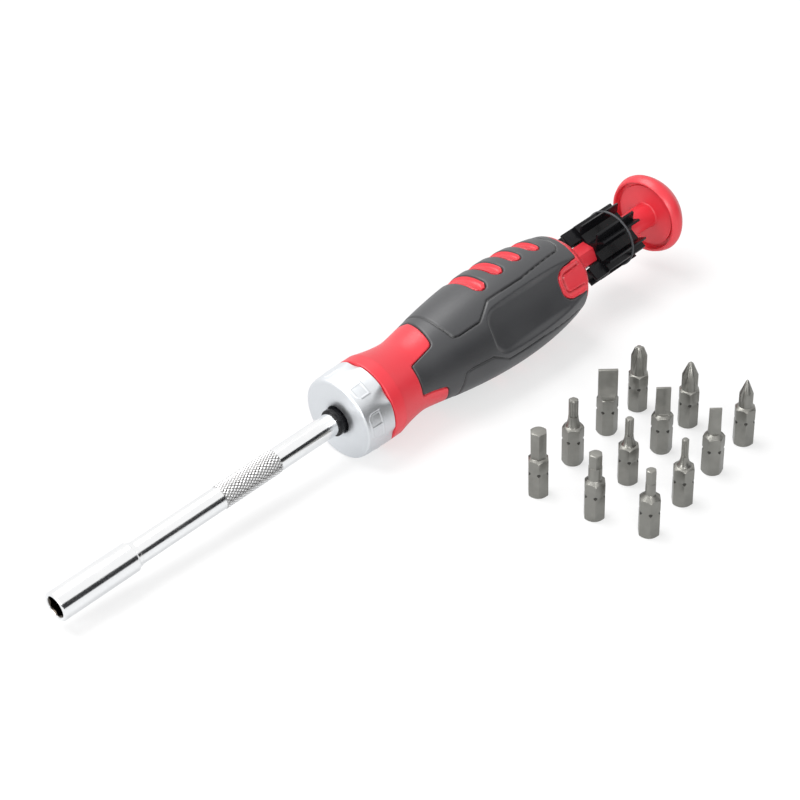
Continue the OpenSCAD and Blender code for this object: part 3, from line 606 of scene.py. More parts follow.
# The dome is the circle through the cap's end that the side's arc runs into. An arc may stop a few
# degrees short of the next form, whose first point then finishes it.
side_away, rise = CAP_R - CAP_SIDE_R, CAP_END - CAP_WIDEST
dome_r = (side_away ** 2 + rise ** 2 - CAP_SIDE_R ** 2) / (2 * (rise - CAP_SIDE_R))
side_to = math.degrees(math.atan2(dome_r - rise, side_away))
hub_wall = [(SPIGOT_R, HUB_FROM), (HUB_FRONT_R, HUB_FROM), (HUB_R, DISC_AT - HUB_FILLET)]
hub_wall += arc(HUB_R + HUB_FILLET, DISC_AT - HUB_FILLET, HUB_FILLET, 180, 90, 4)
front_wall = [(DISC_R, DISC_AT), (DISC_R + DISC_DRAFT, DISC_AT + DISC_GROOVE)]
front_wall += [(CAP_LIP_AWAY - CAP_LIP_R - DISC_DRAFT, DISC_AT + DISC_GROOVE)]
front_wall += arc(CAP_LIP_AWAY, CAP_RIM + CAP_LIP_R, CAP_LIP_R, 180, 310, 10)
outer_wall = [(CAP_R - CAP_FLARE, CAP_WIDEST - CAP_FLARE_LONG)]
outer_wall += arc(side_away, CAP_WIDEST, CAP_SIDE_R, 0, side_to, 12)
outer_wall += arc(0, CAP_END - dome_r, dome_r, side_to + 3, 88, 18)
middle_wall = [(ON_AXIS, CAP_END), (ON_AXIS, CAP_RIM), (SPIGOT_R, CAP_RIM)]
cap = turned("end_cap", hub_wall + front_wall + outer_wall + middle_wall, CAP_SIDES)
in_edit(cap)
# Merging the points on the axis leaves edges without a face there
bpy.ops.mesh.delete_loose(use_verts=True, use_edges=True, use_faces=False)
out_of_edit()
smooth(cap, 40)
lay(cap)
hand_over(cap, "end_cap")

# %% [markdown]
# ## Coil springs
# Three short springs hide in the ratchet: two press the pawls into the gear and one presses the
# click ball. Their imported solids are plain tubes that keep their room. A spring is a wire's round
# section screwed along an axis, so a small circle and a Screw modifier make it. Each stands in
# its imported solid's place and moves with its body.

# %% Coil springs
WIRE_R = 0.14
WIRE_SIDES, COIL_STEPS = 8, 20
# For each kind: the coil's radius, its length, how far it is pressed, and its turns
PAWL_COIL_R, PAWL_SPRING_LONG, PAWL_SPRING_PRESS, PAWL_COILS = 0.6, 1.27, 0.85, 3
CLICK_COIL_R, CLICK_SPRING_LONG, CLICK_SPRING_PRESS, CLICK_COILS = 0.7, 2.2, 0.62, 4


def coil_spring(node, coil_r, length, coils):
    low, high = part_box(node)
    middle = (Vector(low) + Vector(high)) / 2
    outward = (middle - tip) - along * (middle - tip).dot(along)
    outward.normalize()
    bpy.ops.object.select_all(action="DESELECT")
    bpy.ops.mesh.primitive_circle_add(vertices=WIRE_SIDES, radius=WIRE_R * MM,
                                      location=(coil_r * MM, 0, 0), rotation=(math.pi / 2, 0, 0))
    spring = bpy.context.object
    bpy.ops.object.transform_apply(location=True, rotation=True, scale=True)
    pitch = (length - 2 * WIRE_R) / coils * MM
    add_modifier(spring, "SCREW", angle=2 * math.pi, screw_offset=pitch, iterations=coils,
                 steps=COIL_STEPS, render_steps=COIL_STEPS)
    start = middle - outward * (length / 2 - WIRE_R) * MM
    lay(spring, axes_matrix(along.cross(outward), along, outward, start))
    in_edit(spring)
    bpy.ops.mesh.fill_holes(sides=0)
    bpy.ops.mesh.normals_make_consistent(inside=False)
    out_of_edit()
    smooth(spring, 50)
    hand_over(spring, node)
    return spring, middle, outward


for side in ("left", "right"):
    spring, middle, outward = coil_spring(f"pawl_spring_{side}", PAWL_COIL_R, PAWL_SPRING_LONG,
                                          PAWL_COILS)
    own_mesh(spring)
spring, middle, outward = coil_spring("click_spring", CLICK_COIL_R, CLICK_SPRING_LONG, CLICK_COILS)
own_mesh(spring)

# %% [markdown]
# ## Knurled shaft
# The finger band is rolled by two sets of slanted ridges that cross into diamonds. A shaft is
# turned with many short rings there, and each point of those rings is lifted where both sets of
# ridges rise. 24 ridges make the pitch 1.05 mm round the shaft, and it is 1.75 mm along it. A
# peak stands 0.25 mm above the plain shaft and a valley lies 0.07 mm below it. A bump in the
# finish would leave the band's outline smooth, so the diamonds are real. The valleys get painted
# shade, darker the deeper they are.

# %% Driver shaft
SHAFT_R, SHAFT_FROM, SHAFT_TO = 4.0, 13.6, 121.4
HIDDEN_R, HIDDEN_TO = 3.0, 133.2
# A line that walks round the wall leaves this narrow hole on the axis, hidden at both ends
CENTRE_HOLE_R = 0.4
SHAFT_SIDES = 192
KNURL_FROM, KNURL_TO, KNURL_FADE = 65.0, 89.0, 0.6
KNURL_ROWS = 180
KNURL_STARTS, KNURL_PITCH = 24, 1.75
KNURL_PEAK, KNURL_VALLEY = 0.25, 0.07
# Painted shade at the plain shaft's radius, and how much less of it per mm that a point stands higher
SHADE_AT_FACE, SHADE_PER_MM = 0.55, 6.5


def knurl_lift(station, angle):
    # Two triangle waves that lean to either side; the lower one at each point leaves diamonds
    turn = angle * KNURL_STARTS
    climb = 2 * math.pi * (station - KNURL_FROM) / KNURL_PITCH
    ridge_a = abs(((turn + climb) / math.pi) % 2 - 1)
    ridge_b = abs(((turn - climb) / math.pi) % 2 - 1)
    fade = min(1, (station - KNURL_FROM) / KNURL_FADE, (KNURL_TO - station) / KNURL_FADE)
    return (min(ridge_a, ridge_b) * (KNURL_PEAK + KNURL_VALLEY) - KNURL_VALLEY) * max(0, fade)


knurl_step = (KNURL_TO - KNURL_FROM) / KNURL_ROWS
shaft_wall = [(CENTRE_HOLE_R, SHAFT_FROM), (SHAFT_R, SHAFT_FROM)]
shaft_wall += [(SHAFT_R, KNURL_FROM + knurl_step * i) for i in range(KNURL_ROWS + 1)]
shaft_wall += [(SHAFT_R, SHAFT_TO), (HIDDEN_R, SHAFT_TO), (HIDDEN_R, HIDDEN_TO)]
shaft_wall += [(CENTRE_HOLE_R, HIDDEN_TO)]
shaft = turned("driver_shaft", shaft_wall, SHAFT_SIDES)
valley_shade = np.zeros(len(shaft.data.vertices))
for vertex in shaft.data.vertices:
    station = vertex.co.z / MM
    if KNURL_FROM < station < KNURL_TO:
        lift = knurl_lift(station, math.atan2(vertex.co.y, vertex.co.x))
        outward = Vector((vertex.co.x, vertex.co.y)).normalized()
        vertex.co.x, vertex.co.y = outward * (SHAFT_R + lift) * MM
        valley_shade[vertex.index] = max(0, min(1, SHADE_AT_FACE - lift * SHADE_PER_MM))
mark_cut(shaft, "POINT", valley_shade)
smooth(shaft, 60)
lay(shaft)
hand_over(shaft, "driver_shaft")

# %% [markdown]
# ## A skin wrapped round the driver
# The ring and the handle have patterns that neither lathe nor extrusion gives: scallops, scoops,
# grooves and windows that fade into a barrel. A potter would roll out a sheet, wrap it round and
# press the pattern in. The same is done here: a flat grid is wrapped round the axis, its rows
# follow the piece's profile all the way round the wall, and a formula gives the radius at each
# point. Its first and last rows and columns then meet and are merged, so the wall is closed.

# %% Wrap a grid round the axis
def wrapped(name, stations, radii, cuts=None):
    # One row of radii for each station, and one column for each angle; rows walk round the wall
    rows, columns = radii.shape
    bpy.ops.object.select_all(action="DESELECT")
    bpy.ops.mesh.primitive_grid_add(x_subdivisions=columns, y_subdivisions=rows, size=1,
                                    location=(0, 0, 0))
    piece = bpy.context.object
    piece.name = name
    flat = points_of(piece)
    column = np.rint((flat[:, 0] + 0.5) * columns).astype(int) % columns
    row = np.rint((flat[:, 1] + 0.5) * rows).astype(int) % rows
    turn = 2 * math.pi * column / columns
    radius = radii[row, column]
    round_it = np.stack([radius * np.cos(turn), radius * np.sin(turn), stations[row]], axis=1) * MM
    piece.data.vertices.foreach_set("co", round_it.ravel())
    if cuts is not None:
        # Rows past the last row of painted-shade marks are inside the wall, where nothing is marked
        padded = np.vstack([cuts, np.zeros((rows - len(cuts), columns))])
        mark_cut(piece, "POINT", padded[row, column])
    in_edit(piece)
    bpy.ops.mesh.remove_doubles(threshold=MERGE)
    bpy.ops.mesh.normals_make_consistent(inside=False)
    out_of_edit()
    return piece


def turns_of(columns):
    return np.arange(columns) * 2 * math.pi / columns


def rows_of(profile, columns):
    # Stations and radii of plain turned rows, from (radius, station) points
    profile = np.array(profile, float)
    return profile[:, 1], np.repeat(profile[:, :1], columns, axis=1)


print("wrapping helpers ready")

# %% [markdown]
# ## Formulas for patterns
# A pattern is a height at every point of the sheet. These small formulas are its tools: the
# distance to a repeated middle, a minimum and a maximum with a soft corner, a smooth ramp from 0
# to 1, a groove's smooth section, and the distance outside a box with round corners.

# %% Helpers for patterns
def from_middle(turn, middle_degrees, repeats):
    # Angle to the nearest of the pattern's equally spaced middles, in radians
    step = 2 * math.pi / repeats
    return (turn - math.radians(middle_degrees) + step / 2) % step - step / 2


def soft_min(a, b, width):
    near = np.maximum(width - np.abs(a - b), 0) / width
    return np.minimum(a, b) - near * near * width / 4


def soft_max(a, b, width):
    return -soft_min(-a, -b, width)


def ramp(value):
    value = np.clip(value, 0, 1)
    return value * value * (3 - 2 * value)


def groove(away, half_width):
    # 1 in the groove's middle, and falling to nothing at about twice its half width
    return np.exp(-(away / half_width) ** 2)


def rounded_away(out_x, out_y, corner):
    # Distance outside a rectangle with round corners, from the distances past its inner one
    past = np.hypot(np.maximum(out_x, 0), np.maximum(out_y, 0))
    return past + np.minimum(np.maximum(out_x, out_y), 0) - corner


print("pattern helpers ready")

# %% [markdown]
# ## Selector ring
# The ring is a casting with a softly rounded front edge, six shallow finger scallops at its rear
# edge, and between them a thin raised outline that marks each place. The scallops are the cut of
# a large leaning cylinder, and the outlines are ridges at a set distance from a small panel.

# %% Selector ring: sizes
RING_FROM, RING_TO, RING_SHOULDER, RING_WEB = 117.0, 129.0, 121.0, 2.0
RING_FRONT_R, RING_SHOULDER_R, RING_REAR_R, RING_BORE_R = 14.8, 15.05, 15.4, 12.1
RING_EDGE_R = 0.9
MOUTH_R, MOUTH_CHAMFER, MOUTH_CHAMFER_LONG = 5.1, 0.3, 0.25
# Two more rows on the front face keep its shading flat up to the rounded edge
FACE_ROWS = [9.0, 13.4]
# The outer face ends REAR_EDGE before the rear, one more row lies in the rounded corner, and the
# flat rear face begins REAR_FACE_IN inside the rim
REAR_EDGE, REAR_CORNER, REAR_CORNER_IN, REAR_FACE_IN = 0.35, 0.1, 0.25, 1.0
RING_MARKS, MARK_TURN = 6, 21.5
# A mark's middle, its half length and half width, and how much of its front corners is cut
MARK_AT, MARK_HALF_L, MARK_HALF_W, MARK_CUT = 121.4, 2.35, 4.65, 1.3
MARK_LINE, MARK_HEIGHT = 0.2, 0.11
SCALLOP_R, SCALLOP_DEEP, SCALLOP_LEAN, SCALLOP_SOFT = 14.0, 0.75, math.tan(math.radians(7)), 0.35
RING_ROWS, RING_COLUMNS = 56, 512
# A distance in mm that no mark's line reaches
FAR_AWAY = 9
print("ring length in mm:", RING_TO - RING_FROM)

# %% [markdown]
# ### The ring's outer face
# The face widens slightly to the rear. The raised outline follows a panel with its two front
# corners cut, and a bar runs along the panel's middle. The scallops are taken off last, so they
# cut whatever they meet.

# %% Selector ring: outer face
ring_rows = np.linspace(RING_FROM + RING_EDGE_R, RING_TO - REAR_EDGE, RING_ROWS)
station, turn = np.meshgrid(ring_rows, turns_of(RING_COLUMNS), indexing="ij")
ring_skin = np.interp(station, [RING_FROM + RING_EDGE_R, RING_SHOULDER, RING_TO],
                      [RING_FRONT_R, RING_SHOULDER_R, RING_REAR_R])
across_mark = ring_skin * from_middle(turn, MARK_TURN, RING_MARKS)
out_l = np.abs(station - MARK_AT) - MARK_HALF_L
out_w = np.abs(across_mark) - MARK_HALF_W
cut_corner = (out_l + out_w + MARK_CUT) / math.sqrt(2)
out_of_panel = np.maximum(out_l, out_w)
mark_away = np.maximum(out_of_panel, np.where(station < MARK_AT, cut_corner, -FAR_AWAY))
middle_bar = np.where(out_of_panel < 0, np.abs(across_mark), FAR_AWAY)
mark_away = np.minimum(np.abs(mark_away), middle_bar)
ring_skin = ring_skin + MARK_HEIGHT * ramp((MARK_LINE * 2 - mark_away) / MARK_LINE)
scallop_turn = from_middle(turn, MARK_TURN + 180 / RING_MARKS, RING_MARKS)
scallop_w = RING_REAR_R * np.sin(scallop_turn)
scallop = RING_REAR_R + SCALLOP_R - SCALLOP_DEEP - np.sqrt(SCALLOP_R ** 2 - scallop_w ** 2)
scallop = (scallop + (RING_TO - station) * SCALLOP_LEAN) / np.cos(scallop_turn)
ring_skin = soft_min(ring_skin, scallop, SCALLOP_SOFT)
print("ring radius in mm:", round(float(ring_skin.min()), 2), "to", round(float(ring_skin.max()), 2))

# %% [markdown]
# ### The ring's closed wall
# The rest of the wall is plain and round: the mouth with its chamfer, the flat front, the rounded
# front edge, and behind them the rear face, the bore and the back of the thin web.

# %% Selector ring: the whole wall
ring_front = [(MOUTH_R, RING_FROM + RING_WEB), (MOUTH_R, RING_FROM + MOUTH_CHAMFER_LONG)]
ring_front += [(MOUTH_R + MOUTH_CHAMFER, RING_FROM)] + [(r, RING_FROM) for r in FACE_ROWS]
ring_front += arc(RING_FRONT_R - RING_EDGE_R, RING_FROM + RING_EDGE_R, RING_EDGE_R, -86, -6, 6)
ring_back = [(RING_REAR_R - REAR_FACE_IN, RING_TO), (RING_BORE_R, RING_TO)]
ring_back += [(RING_BORE_R, RING_FROM + RING_WEB)]
front_at, front_r = rows_of(ring_front, RING_COLUMNS)
back_at, back_r = rows_of(ring_back, RING_COLUMNS)
corner_at, corner_r = [RING_TO - REAR_CORNER], ring_skin[-1:] - REAR_CORNER_IN
selector = wrapped("selector_ring", np.concatenate([front_at, ring_rows, corner_at, back_at]),
                   np.vstack([front_r, ring_skin, corner_r, back_r]))
smooth(selector, 50)
lay(selector)
hand_over(selector, "selector_ring")

# %% [markdown]
# ## The barrel of the handle
# Both mouldings of the handle, the hard red core and the black skin over it, share one barrel: a
# short flange, a waist for the finger and thumb, a belly for the palm and a narrower tail. The
# pattern on it repeats after half a turn: two broad panels, and two hollow scoops between them.

# %% Barrel
HANDLE_FROM, HANDLE_TO = 129.3, 230.0
NECK_TO, WAIST_AT, BELLY_AT = 134.0, 147.0, 196.0
NECK_R, WAIST_R, BELLY_R, TAIL_R = 15.45, 13.45, 18.85, 14.55
# How steeply the neck and the tail curve away, and how softly the belly's swell sets in
NECK_CURVE, TAIL_CURVE, SWELL_START = 1.6, 2.2, 0.1


def barrel_r(station):
    narrowing = np.clip((WAIST_AT - station) / (WAIST_AT - NECK_TO), 0, 1)
    neck = WAIST_R + (NECK_R - WAIST_R) * narrowing ** NECK_CURVE
    wave = np.sin(math.pi / 2 * np.clip((station - WAIST_AT) / (BELLY_AT - WAIST_AT), 0, 1))
    swell = np.sqrt(wave ** 2 + SWELL_START ** 2) - SWELL_START
    swell = swell / (math.sqrt(1 + SWELL_START ** 2) - SWELL_START)
    belly = WAIST_R + (BELLY_R - WAIST_R) * swell
    falling = np.clip((station - BELLY_AT) / (HANDLE_TO - BELLY_AT), 0, 1)
    tail = BELLY_R - (BELLY_R - TAIL_R) * falling ** TAIL_CURVE
    return np.where(station < WAIST_AT, neck, np.where(station < BELLY_AT, belly, tail))


print("belly diameter in mm:", round(2 * float(barrel_r(np.array(BELLY_AT))), 1))

# %% [markdown]
# ## The scoops
# A scoop is a shallow hollow that a fingertip or the heel of the hand rests in: a nearly flat
# floor that leans 1 degree, sides that slope up to the barrel, and soft corners between them.

# %% Scoops
SCOOP_TURN, PANEL_TURN = 65, -25
SCOOP_FROM, SCOOP_MID = 177.0, 205.5
# A scoop's half length, half width and corner. Its floor's radius is given at SCOOP_FROM, and
# across it the floor is hollow on a circle of radius SCOOP_HOLLOW.
SCOOP_HALF_L, SCOOP_HALF_W, SCOOP_CORNER = 26.7, 7.6, 4.0
SCOOP_FLOOR, SCOOP_HOLLOW, SCOOP_FALL = 15.2, 56.0, math.tan(math.radians(1))
SCOOP_SLOPE, SCOOP_FOOT = 0.6, 1.4
SCOOP_FOOT_SOFT, SCOOP_EDGE_SOFT = 1.8, 0.8
# Far round from a scoop the cosine nears 0, so it is kept above this
LEAST_COS = 0.2


def scooped_r(station, turn):
    lean = from_middle(turn, SCOOP_TURN, 2)
    barrel = barrel_r(station)
    width = barrel * np.sin(lean)
    floor = SCOOP_FLOOR + width ** 2 / (2 * SCOOP_HOLLOW) - (station - SCOOP_FROM) * SCOOP_FALL
    away = rounded_away(np.abs(station - SCOOP_MID) - (SCOOP_HALF_L - SCOOP_CORNER),
                        np.abs(width) - (SCOOP_HALF_W - SCOOP_CORNER), SCOOP_CORNER)
    side = SCOOP_FLOOR - SCOOP_FOOT + away / SCOOP_SLOPE
    hollow = soft_max(floor, side, SCOOP_FOOT_SOFT) / np.maximum(np.cos(lean), LEAST_COS)
    return soft_min(barrel, hollow, SCOOP_EDGE_SOFT)


scoop_middle = scooped_r(np.array(SCOOP_MID), np.array(math.radians(SCOOP_TURN)))
print("radius in the middle of a scoop in mm:", round(float(scoop_middle), 1))

# %% [markdown]
# ## Where red ends and black begins
# Each outline on the handle is kept as a distance in millimetres, negative inside. A distance
# makes every edge easy: it can be rounded over, sunk as a groove or lifted as a rim, at the same
# width all along. The panels' outline is a few corners, and the rest are rounded boxes and slots.

# %% Outlines on the handle: sizes
GRIP_FROM, GRIP_TO = 144.3, 226.4
# Widths round the handle are taken on circles of these radii
FRONT_ARC_R, PANEL_ARC_R = 14.0, 17.0
PANEL_CORNER = 1.6
# Stations and half widths of a panel, from its front to its rear. The panel's outline lies
# PANEL_CORNER outside these points, which rounds its corners.
PANEL_HALF = [(163.2, 12.0), (164.2, 18.0), (165.6, 18.4), (174.2, 18.4), (181.6, 13.8),
              (199.0, 14.0), (220.0, 12.0), (221.4, 10.4)]
# A tongue has its half width at TONGUE_AT and widens to the rear. Beside it the black begins at
# BLACK_FROM, and further back the farther it is round from the tongue's middle.
TONGUE_HALF_W, TONGUE_AT, TONGUE_WIDENS, TONGUE_SOFT = 6.1, 145.0, 0.196, 1.0
BLACK_FROM, BLACK_FLAT, BLACK_LEAN, BLACK_SOFT = 155.4, 8.0, 0.2, 1.5
# Stations and lengths of the upper panel's windows; those of the lower panel have one length
WINDOWS = [(184.8, 23.4), (195.0, 21.4), (205.1, 19.9), (214.8, 18.9)]
WINDOW_W, UNDER_WINDOW = 5.5, 12.5
INSET_FROM, INSET_HALF_W, INSET_CORNER = 214.6, 6.7, 4.2
print("windows in each panel:", len(WINDOWS))

# %% [markdown]
# ### The outlines' distances
# The distance to a panel's outline is the distance to the nearest of its sides. The front of the
# black has two tongues that reach forward into the red waist. Windows are rounded slots across
# the panels, and the insets are rounded boxes at the tail, in line with the scoops.

# %% Outlines on the handle: distances
def outline_away(corners, x, y):
    nearest = np.full(x.shape, np.inf)
    inside = np.zeros(x.shape, bool)
    for (ax, ay), (bx, by) in zip(corners, corners[1:] + corners[:1]):
        side_x, side_y = bx - ax, by - ay
        from_x, from_y = x - ax, y - ay
        share = np.clip((from_x * side_x + from_y * side_y) / (side_x ** 2 + side_y ** 2), 0, 1)
        nearest = np.minimum(nearest, np.hypot(from_x - side_x * share, from_y - side_y * share))
        if side_y:
            inside ^= ((ay > y) != (by > y)) & (from_x < side_x * from_y / side_y)
    return np.where(inside, -nearest, nearest)


def panel_away(station, turn):
    across = PANEL_ARC_R * from_middle(turn, PANEL_TURN, 2)
    corners = PANEL_HALF + [(at, -wide) for at, wide in reversed(PANEL_HALF)]
    return outline_away(corners, station, across) - PANEL_CORNER


def front_away(station, turn):
    across = FRONT_ARC_R * np.abs(from_middle(turn, SCOOP_TURN, 2))
    tongue_side = across - TONGUE_HALF_W - (station - TONGUE_AT) * TONGUE_WIDENS
    tongue = soft_max(GRIP_FROM - station, tongue_side, TONGUE_SOFT)
    black = BLACK_FROM + np.maximum(across - BLACK_FLAT, 0) * BLACK_LEAN - station
    return soft_min(tongue, black, BLACK_SOFT)


def window_away(station, turn):
    # The windows of the lower panel are shorter: in the main view none shows past the belly
    across = np.abs(barrel_r(station) * np.sin(from_middle(turn, PANEL_TURN, 2)))
    upper = np.abs(from_middle(turn, PANEL_TURN, 1)) < math.pi / 2
    away = []
    for at, wide in WINDOWS:
        half = (np.where(upper, wide, UNDER_WINDOW) - WINDOW_W) / 2
        away.append(np.hypot(station - at, np.maximum(across - half, 0)))
    return np.minimum.reduce(away) - WINDOW_W / 2


def inset_away(station, turn):
    across = barrel_r(station) * np.sin(from_middle(turn, SCOOP_TURN, 2))
    return rounded_away(INSET_FROM + INSET_CORNER - station,
                        np.abs(across) - (INSET_HALF_W - INSET_CORNER), INSET_CORNER)


def black_away(station, turn):
    holes = np.minimum(window_away(station, turn), inset_away(station, turn))
    return np.maximum(np.maximum(front_away(station, turn), station - GRIP_TO), -holes)


print("outlines ready")

# %% [markdown]
# ## Soft grip
# The skin is 1.4 mm of black rubber. Its edge is rolled over where it meets the red, each panel
# is bounded by a fine moulded groove, and outside the panels the skin lies a little lower. Where
# the red shows through, the skin dives under the core, so the two mouldings interlock. Its inner
# face lies a little inside the core, so that no gap can show.

# %% Soft grip
SKIN, SKIN_IN_CORE = 1.4, 0.3
EDGE_ROLL = 0.55
GROOVE_DEEP, GROOVE_HALF = 0.65, 0.3
# How deep the skin lies beside the panels and under the red, and how wide each slope to that is
SUNK_DEEP, SUNK_EDGE = 0.12, 0.8
DIVE_DEEP, DIVE_EDGE = 0.95, 0.3
# Painted shade darkens the skin over this width, just inside its outline
SEAM_SHADE = 0.25
GRIP_BEFORE, GRIP_PAST = 0.6, 0.3
GRIP_ROWS, GRIP_INNER_ROWS, GRIP_COLUMNS = 258, 26, 340


def rolled(depth_in, roll):
    # How far a rolled edge lies below its surface, at a depth in from the outline
    inwards = np.clip(depth_in, 0, roll)
    return roll - np.sqrt(roll ** 2 - (roll - inwards) ** 2)


grip_rows = np.linspace(GRIP_FROM - GRIP_BEFORE, GRIP_TO + GRIP_PAST, GRIP_ROWS)
station, turn = np.meshgrid(grip_rows, turns_of(GRIP_COLUMNS), indexing="ij")
to_panel = panel_away(station, turn)
to_edge = black_away(station, turn)
grip_skin = scooped_r(station, turn) - SUNK_DEEP * ramp(to_panel / SUNK_EDGE)
grip_skin -= GROOVE_DEEP * groove(to_panel, GROOVE_HALF)
grip_skin -= rolled(-to_edge, EDGE_ROLL) + DIVE_DEEP * ramp(to_edge / DIVE_EDGE)
# Painted shade in the panels' grooves and along the seam where the black meets the red
grip_cut = np.maximum(groove(to_panel, GROOVE_HALF), ramp((to_edge + SEAM_SHADE) / SEAM_SHADE))
inner_rows = np.linspace(GRIP_TO + GRIP_PAST, GRIP_FROM - GRIP_BEFORE, GRIP_INNER_ROWS)
inner_station, inner_turn = np.meshgrid(inner_rows, turns_of(GRIP_COLUMNS), indexing="ij")
inner_skin = scooped_r(inner_station, inner_turn) - SKIN - SKIN_IN_CORE
grip = wrapped("soft_grip", np.concatenate([grip_rows, inner_rows]),
               np.vstack([grip_skin, inner_skin]), grip_cut)
smooth(grip, 80)
lay(grip)
hand_over(grip, "soft_grip")

# %% [markdown]
# ## Hard core
# The red core shows at the waist, in the windows, in the two rear insets and at the tail. The
# windows are pockets with a sloped rim, and each inset has a raised rim, a fine groove and an
# island, as the mould leaves them. Behind, the core is open: the magazine slides into it.

# %% Hard core: sizes
SEAM, CORE_ROLL, LEAST_WALL = 0.22, 0.4, 0.35
RED_SUNK = 0.12
POCKET_EDGE, POCKET_RIM, POCKET_DEEP = 0.4, 0.9, 1.0
# A pocket is deepest a little behind its middle, where its depth is POCKET_MOST times as large
POCKET_BEHIND, POCKET_MOST = 0.6, 1.1
# An inset's depth, its rim's height, and where that rim rises, ends and falls, in from the outline
INSET_SUNK, RIM_HIGH, RIM_RISE, RIM_TO, RIM_FALL = 0.2, 0.25, 0.5, 1.7, 0.6
# The island's groove: how far in from the outline, its depth, its half width, where it ends, and the
# strength of its painted shade
ISLAND_IN, ISLAND_DEEP, ISLAND_HALF, ISLAND_TO, ISLAND_SHADE = 2.5, 0.75, 0.38, 226.5, 0.7
# The tail's radius where it begins, and how far it has come down at each station behind that
TAIL_FROM, TAIL_FACE_R = 225.9, 14.95
TAIL_PROFILE = [(TAIL_FROM, 0.0), (226.7, 0.0), (227.3, 0.2), (229.3, 2.05), (229.7, 2.35),
                (HANDLE_TO, 2.55)]
FRONT_ROUND = 0.3
# From the rear: the magazine's chamber, the stem's guide, the shaft's tunnel, the housing's seat
CHAMBER_R, CHAMBER_FROM, GUIDE_FROM, GUIDE_HOLE_R = 12.1, 192.2, 188.2, 4.95
TUNNEL_R, HOUSING_TO, HOUSING_R = 6.2, 138.0, 12.0
# From, to and number of rows: they stand closer where an outline crosses them
CORE_BANDS = [(HANDLE_FROM + 0.5, 143.5, 36), (143.5, 160.0, 52), (160.0, 180.0, 24),
              (180.0, 226.0, 138)]
CORE_FRONT_ROWS, CORE_TAIL_ROWS, CORE_COLUMNS = [0, 0.08, 0.25], 18, 320
print("chamber depth in mm:", round(HANDLE_TO - CHAMBER_FROM, 1))

# %% [markdown]
# ### The red surface
# The barrel's own radius is the starting point. Pockets are pressed in at the windows, the insets
# are sunk with their rims, grooves and islands, and the tail and the front edge are rounded. A
# narrow seam is left beside the black, whose own edge is rolled over towards it.

# %% Hard core: the red surface
core_rows = [[HANDLE_FROM + step for step in CORE_FRONT_ROWS]]
core_rows += [np.linspace(start, stop, count, endpoint=False) for start, stop, count in CORE_BANDS]
core_rows += [np.linspace(CORE_BANDS[-1][1], HANDLE_TO, CORE_TAIL_ROWS)]
core_rows = np.concatenate(core_rows)
station, turn = np.meshgrid(core_rows, turns_of(CORE_COLUMNS), indexing="ij")
to_edge = black_away(station, turn) - SEAM
in_window = -window_away(station, turn)
in_inset = -inset_away(station, turn)
off_middle = [np.abs(station - at - POCKET_BEHIND) for at, _ in WINDOWS]
pocket = ramp((in_window - POCKET_EDGE) / POCKET_RIM)
pocket *= POCKET_MOST - np.minimum.reduce(off_middle) / WINDOW_W
red_skin = barrel_r(station) - RED_SUNK - POCKET_DEEP * pocket
rim = ramp(in_inset / RIM_RISE) * ramp((RIM_TO - in_inset) / RIM_FALL)
island_groove = groove(in_inset - ISLAND_IN, ISLAND_HALF)
inset_skin = scooped_r(station, turn) - INSET_SUNK + RIM_HIGH * rim
inset_skin -= ISLAND_DEEP * island_groove * ramp(ISLAND_TO - station)
red_skin = np.where(in_inset > 0, np.minimum(red_skin, inset_skin), red_skin)
tail_skin = TAIL_FACE_R - np.interp(station, *zip(*TAIL_PROFILE))
red_skin = np.minimum(red_skin, np.where(station > TAIL_FROM, tail_skin, np.inf))
front_round = np.clip((HANDLE_FROM + FRONT_ROUND - station) / FRONT_ROUND, 0, 1)
red_skin -= FRONT_ROUND * (1 - np.sqrt(1 - front_round ** 2))
red_skin -= rolled(to_edge, CORE_ROLL)
print("red surface rows:", len(core_rows))

# %% [markdown]
# ### The core's closed wall
# Under the black the core lies one skin's thickness down. Where the red shows, at least 0.35 mm
# of wall is left over the magazine's chamber. Inside are the chamber, the hole that guides the
# stem, a tunnel for the shaft's end and the seat of the ratchet's housing.

# %% Hard core: the whole wall
under_skin = np.minimum(scooped_r(station, turn) - SKIN, red_skin)
core_skin = np.where(to_edge > 0, np.maximum(red_skin, CHAMBER_R + LEAST_WALL), under_skin)
bore_at, bore_r = rows_of([
    (CHAMBER_R, HANDLE_TO), (CHAMBER_R, CHAMBER_FROM),
    (GUIDE_HOLE_R, CHAMBER_FROM), (GUIDE_HOLE_R, GUIDE_FROM),
    (TUNNEL_R, GUIDE_FROM), (TUNNEL_R, HOUSING_TO),
    (HOUSING_R, HOUSING_TO), (HOUSING_R, HANDLE_FROM),
], CORE_COLUMNS)
# Painted shade in the groove round each inset's island
core_cut = island_groove * (station < ISLAND_TO) * ISLAND_SHADE
core = wrapped("handle_core", np.concatenate([core_rows, bore_at]),
               np.vstack([core_skin, bore_r]), core_cut)
smooth(core, 70)
lay(core)
hand_over(core, "handle_core")

# %% [markdown]
# ## The bits
# The imported solids already have each bit's real tip, so each bit is a copy, and every edge gets a
# tiny bevel: real bits are tumbled, so no edge is sharp, and the soft edges give the thin bright
# lines between the flats. The small notches that a socket's ball clicks into get painted shade:
# their faces are marked dark.

# %% Loose bits
# A notch's faces are found by their height above the bit's foot and their few square millimetres
NOTCH_AT, NOTCH_R, NOTCH_FACE = 9.6, 1.0, 2.0


def is_notch(face):
    return abs(face.center.z / MM - NOTCH_AT) < NOTCH_R and face.area / MM ** 2 < NOTCH_FACE


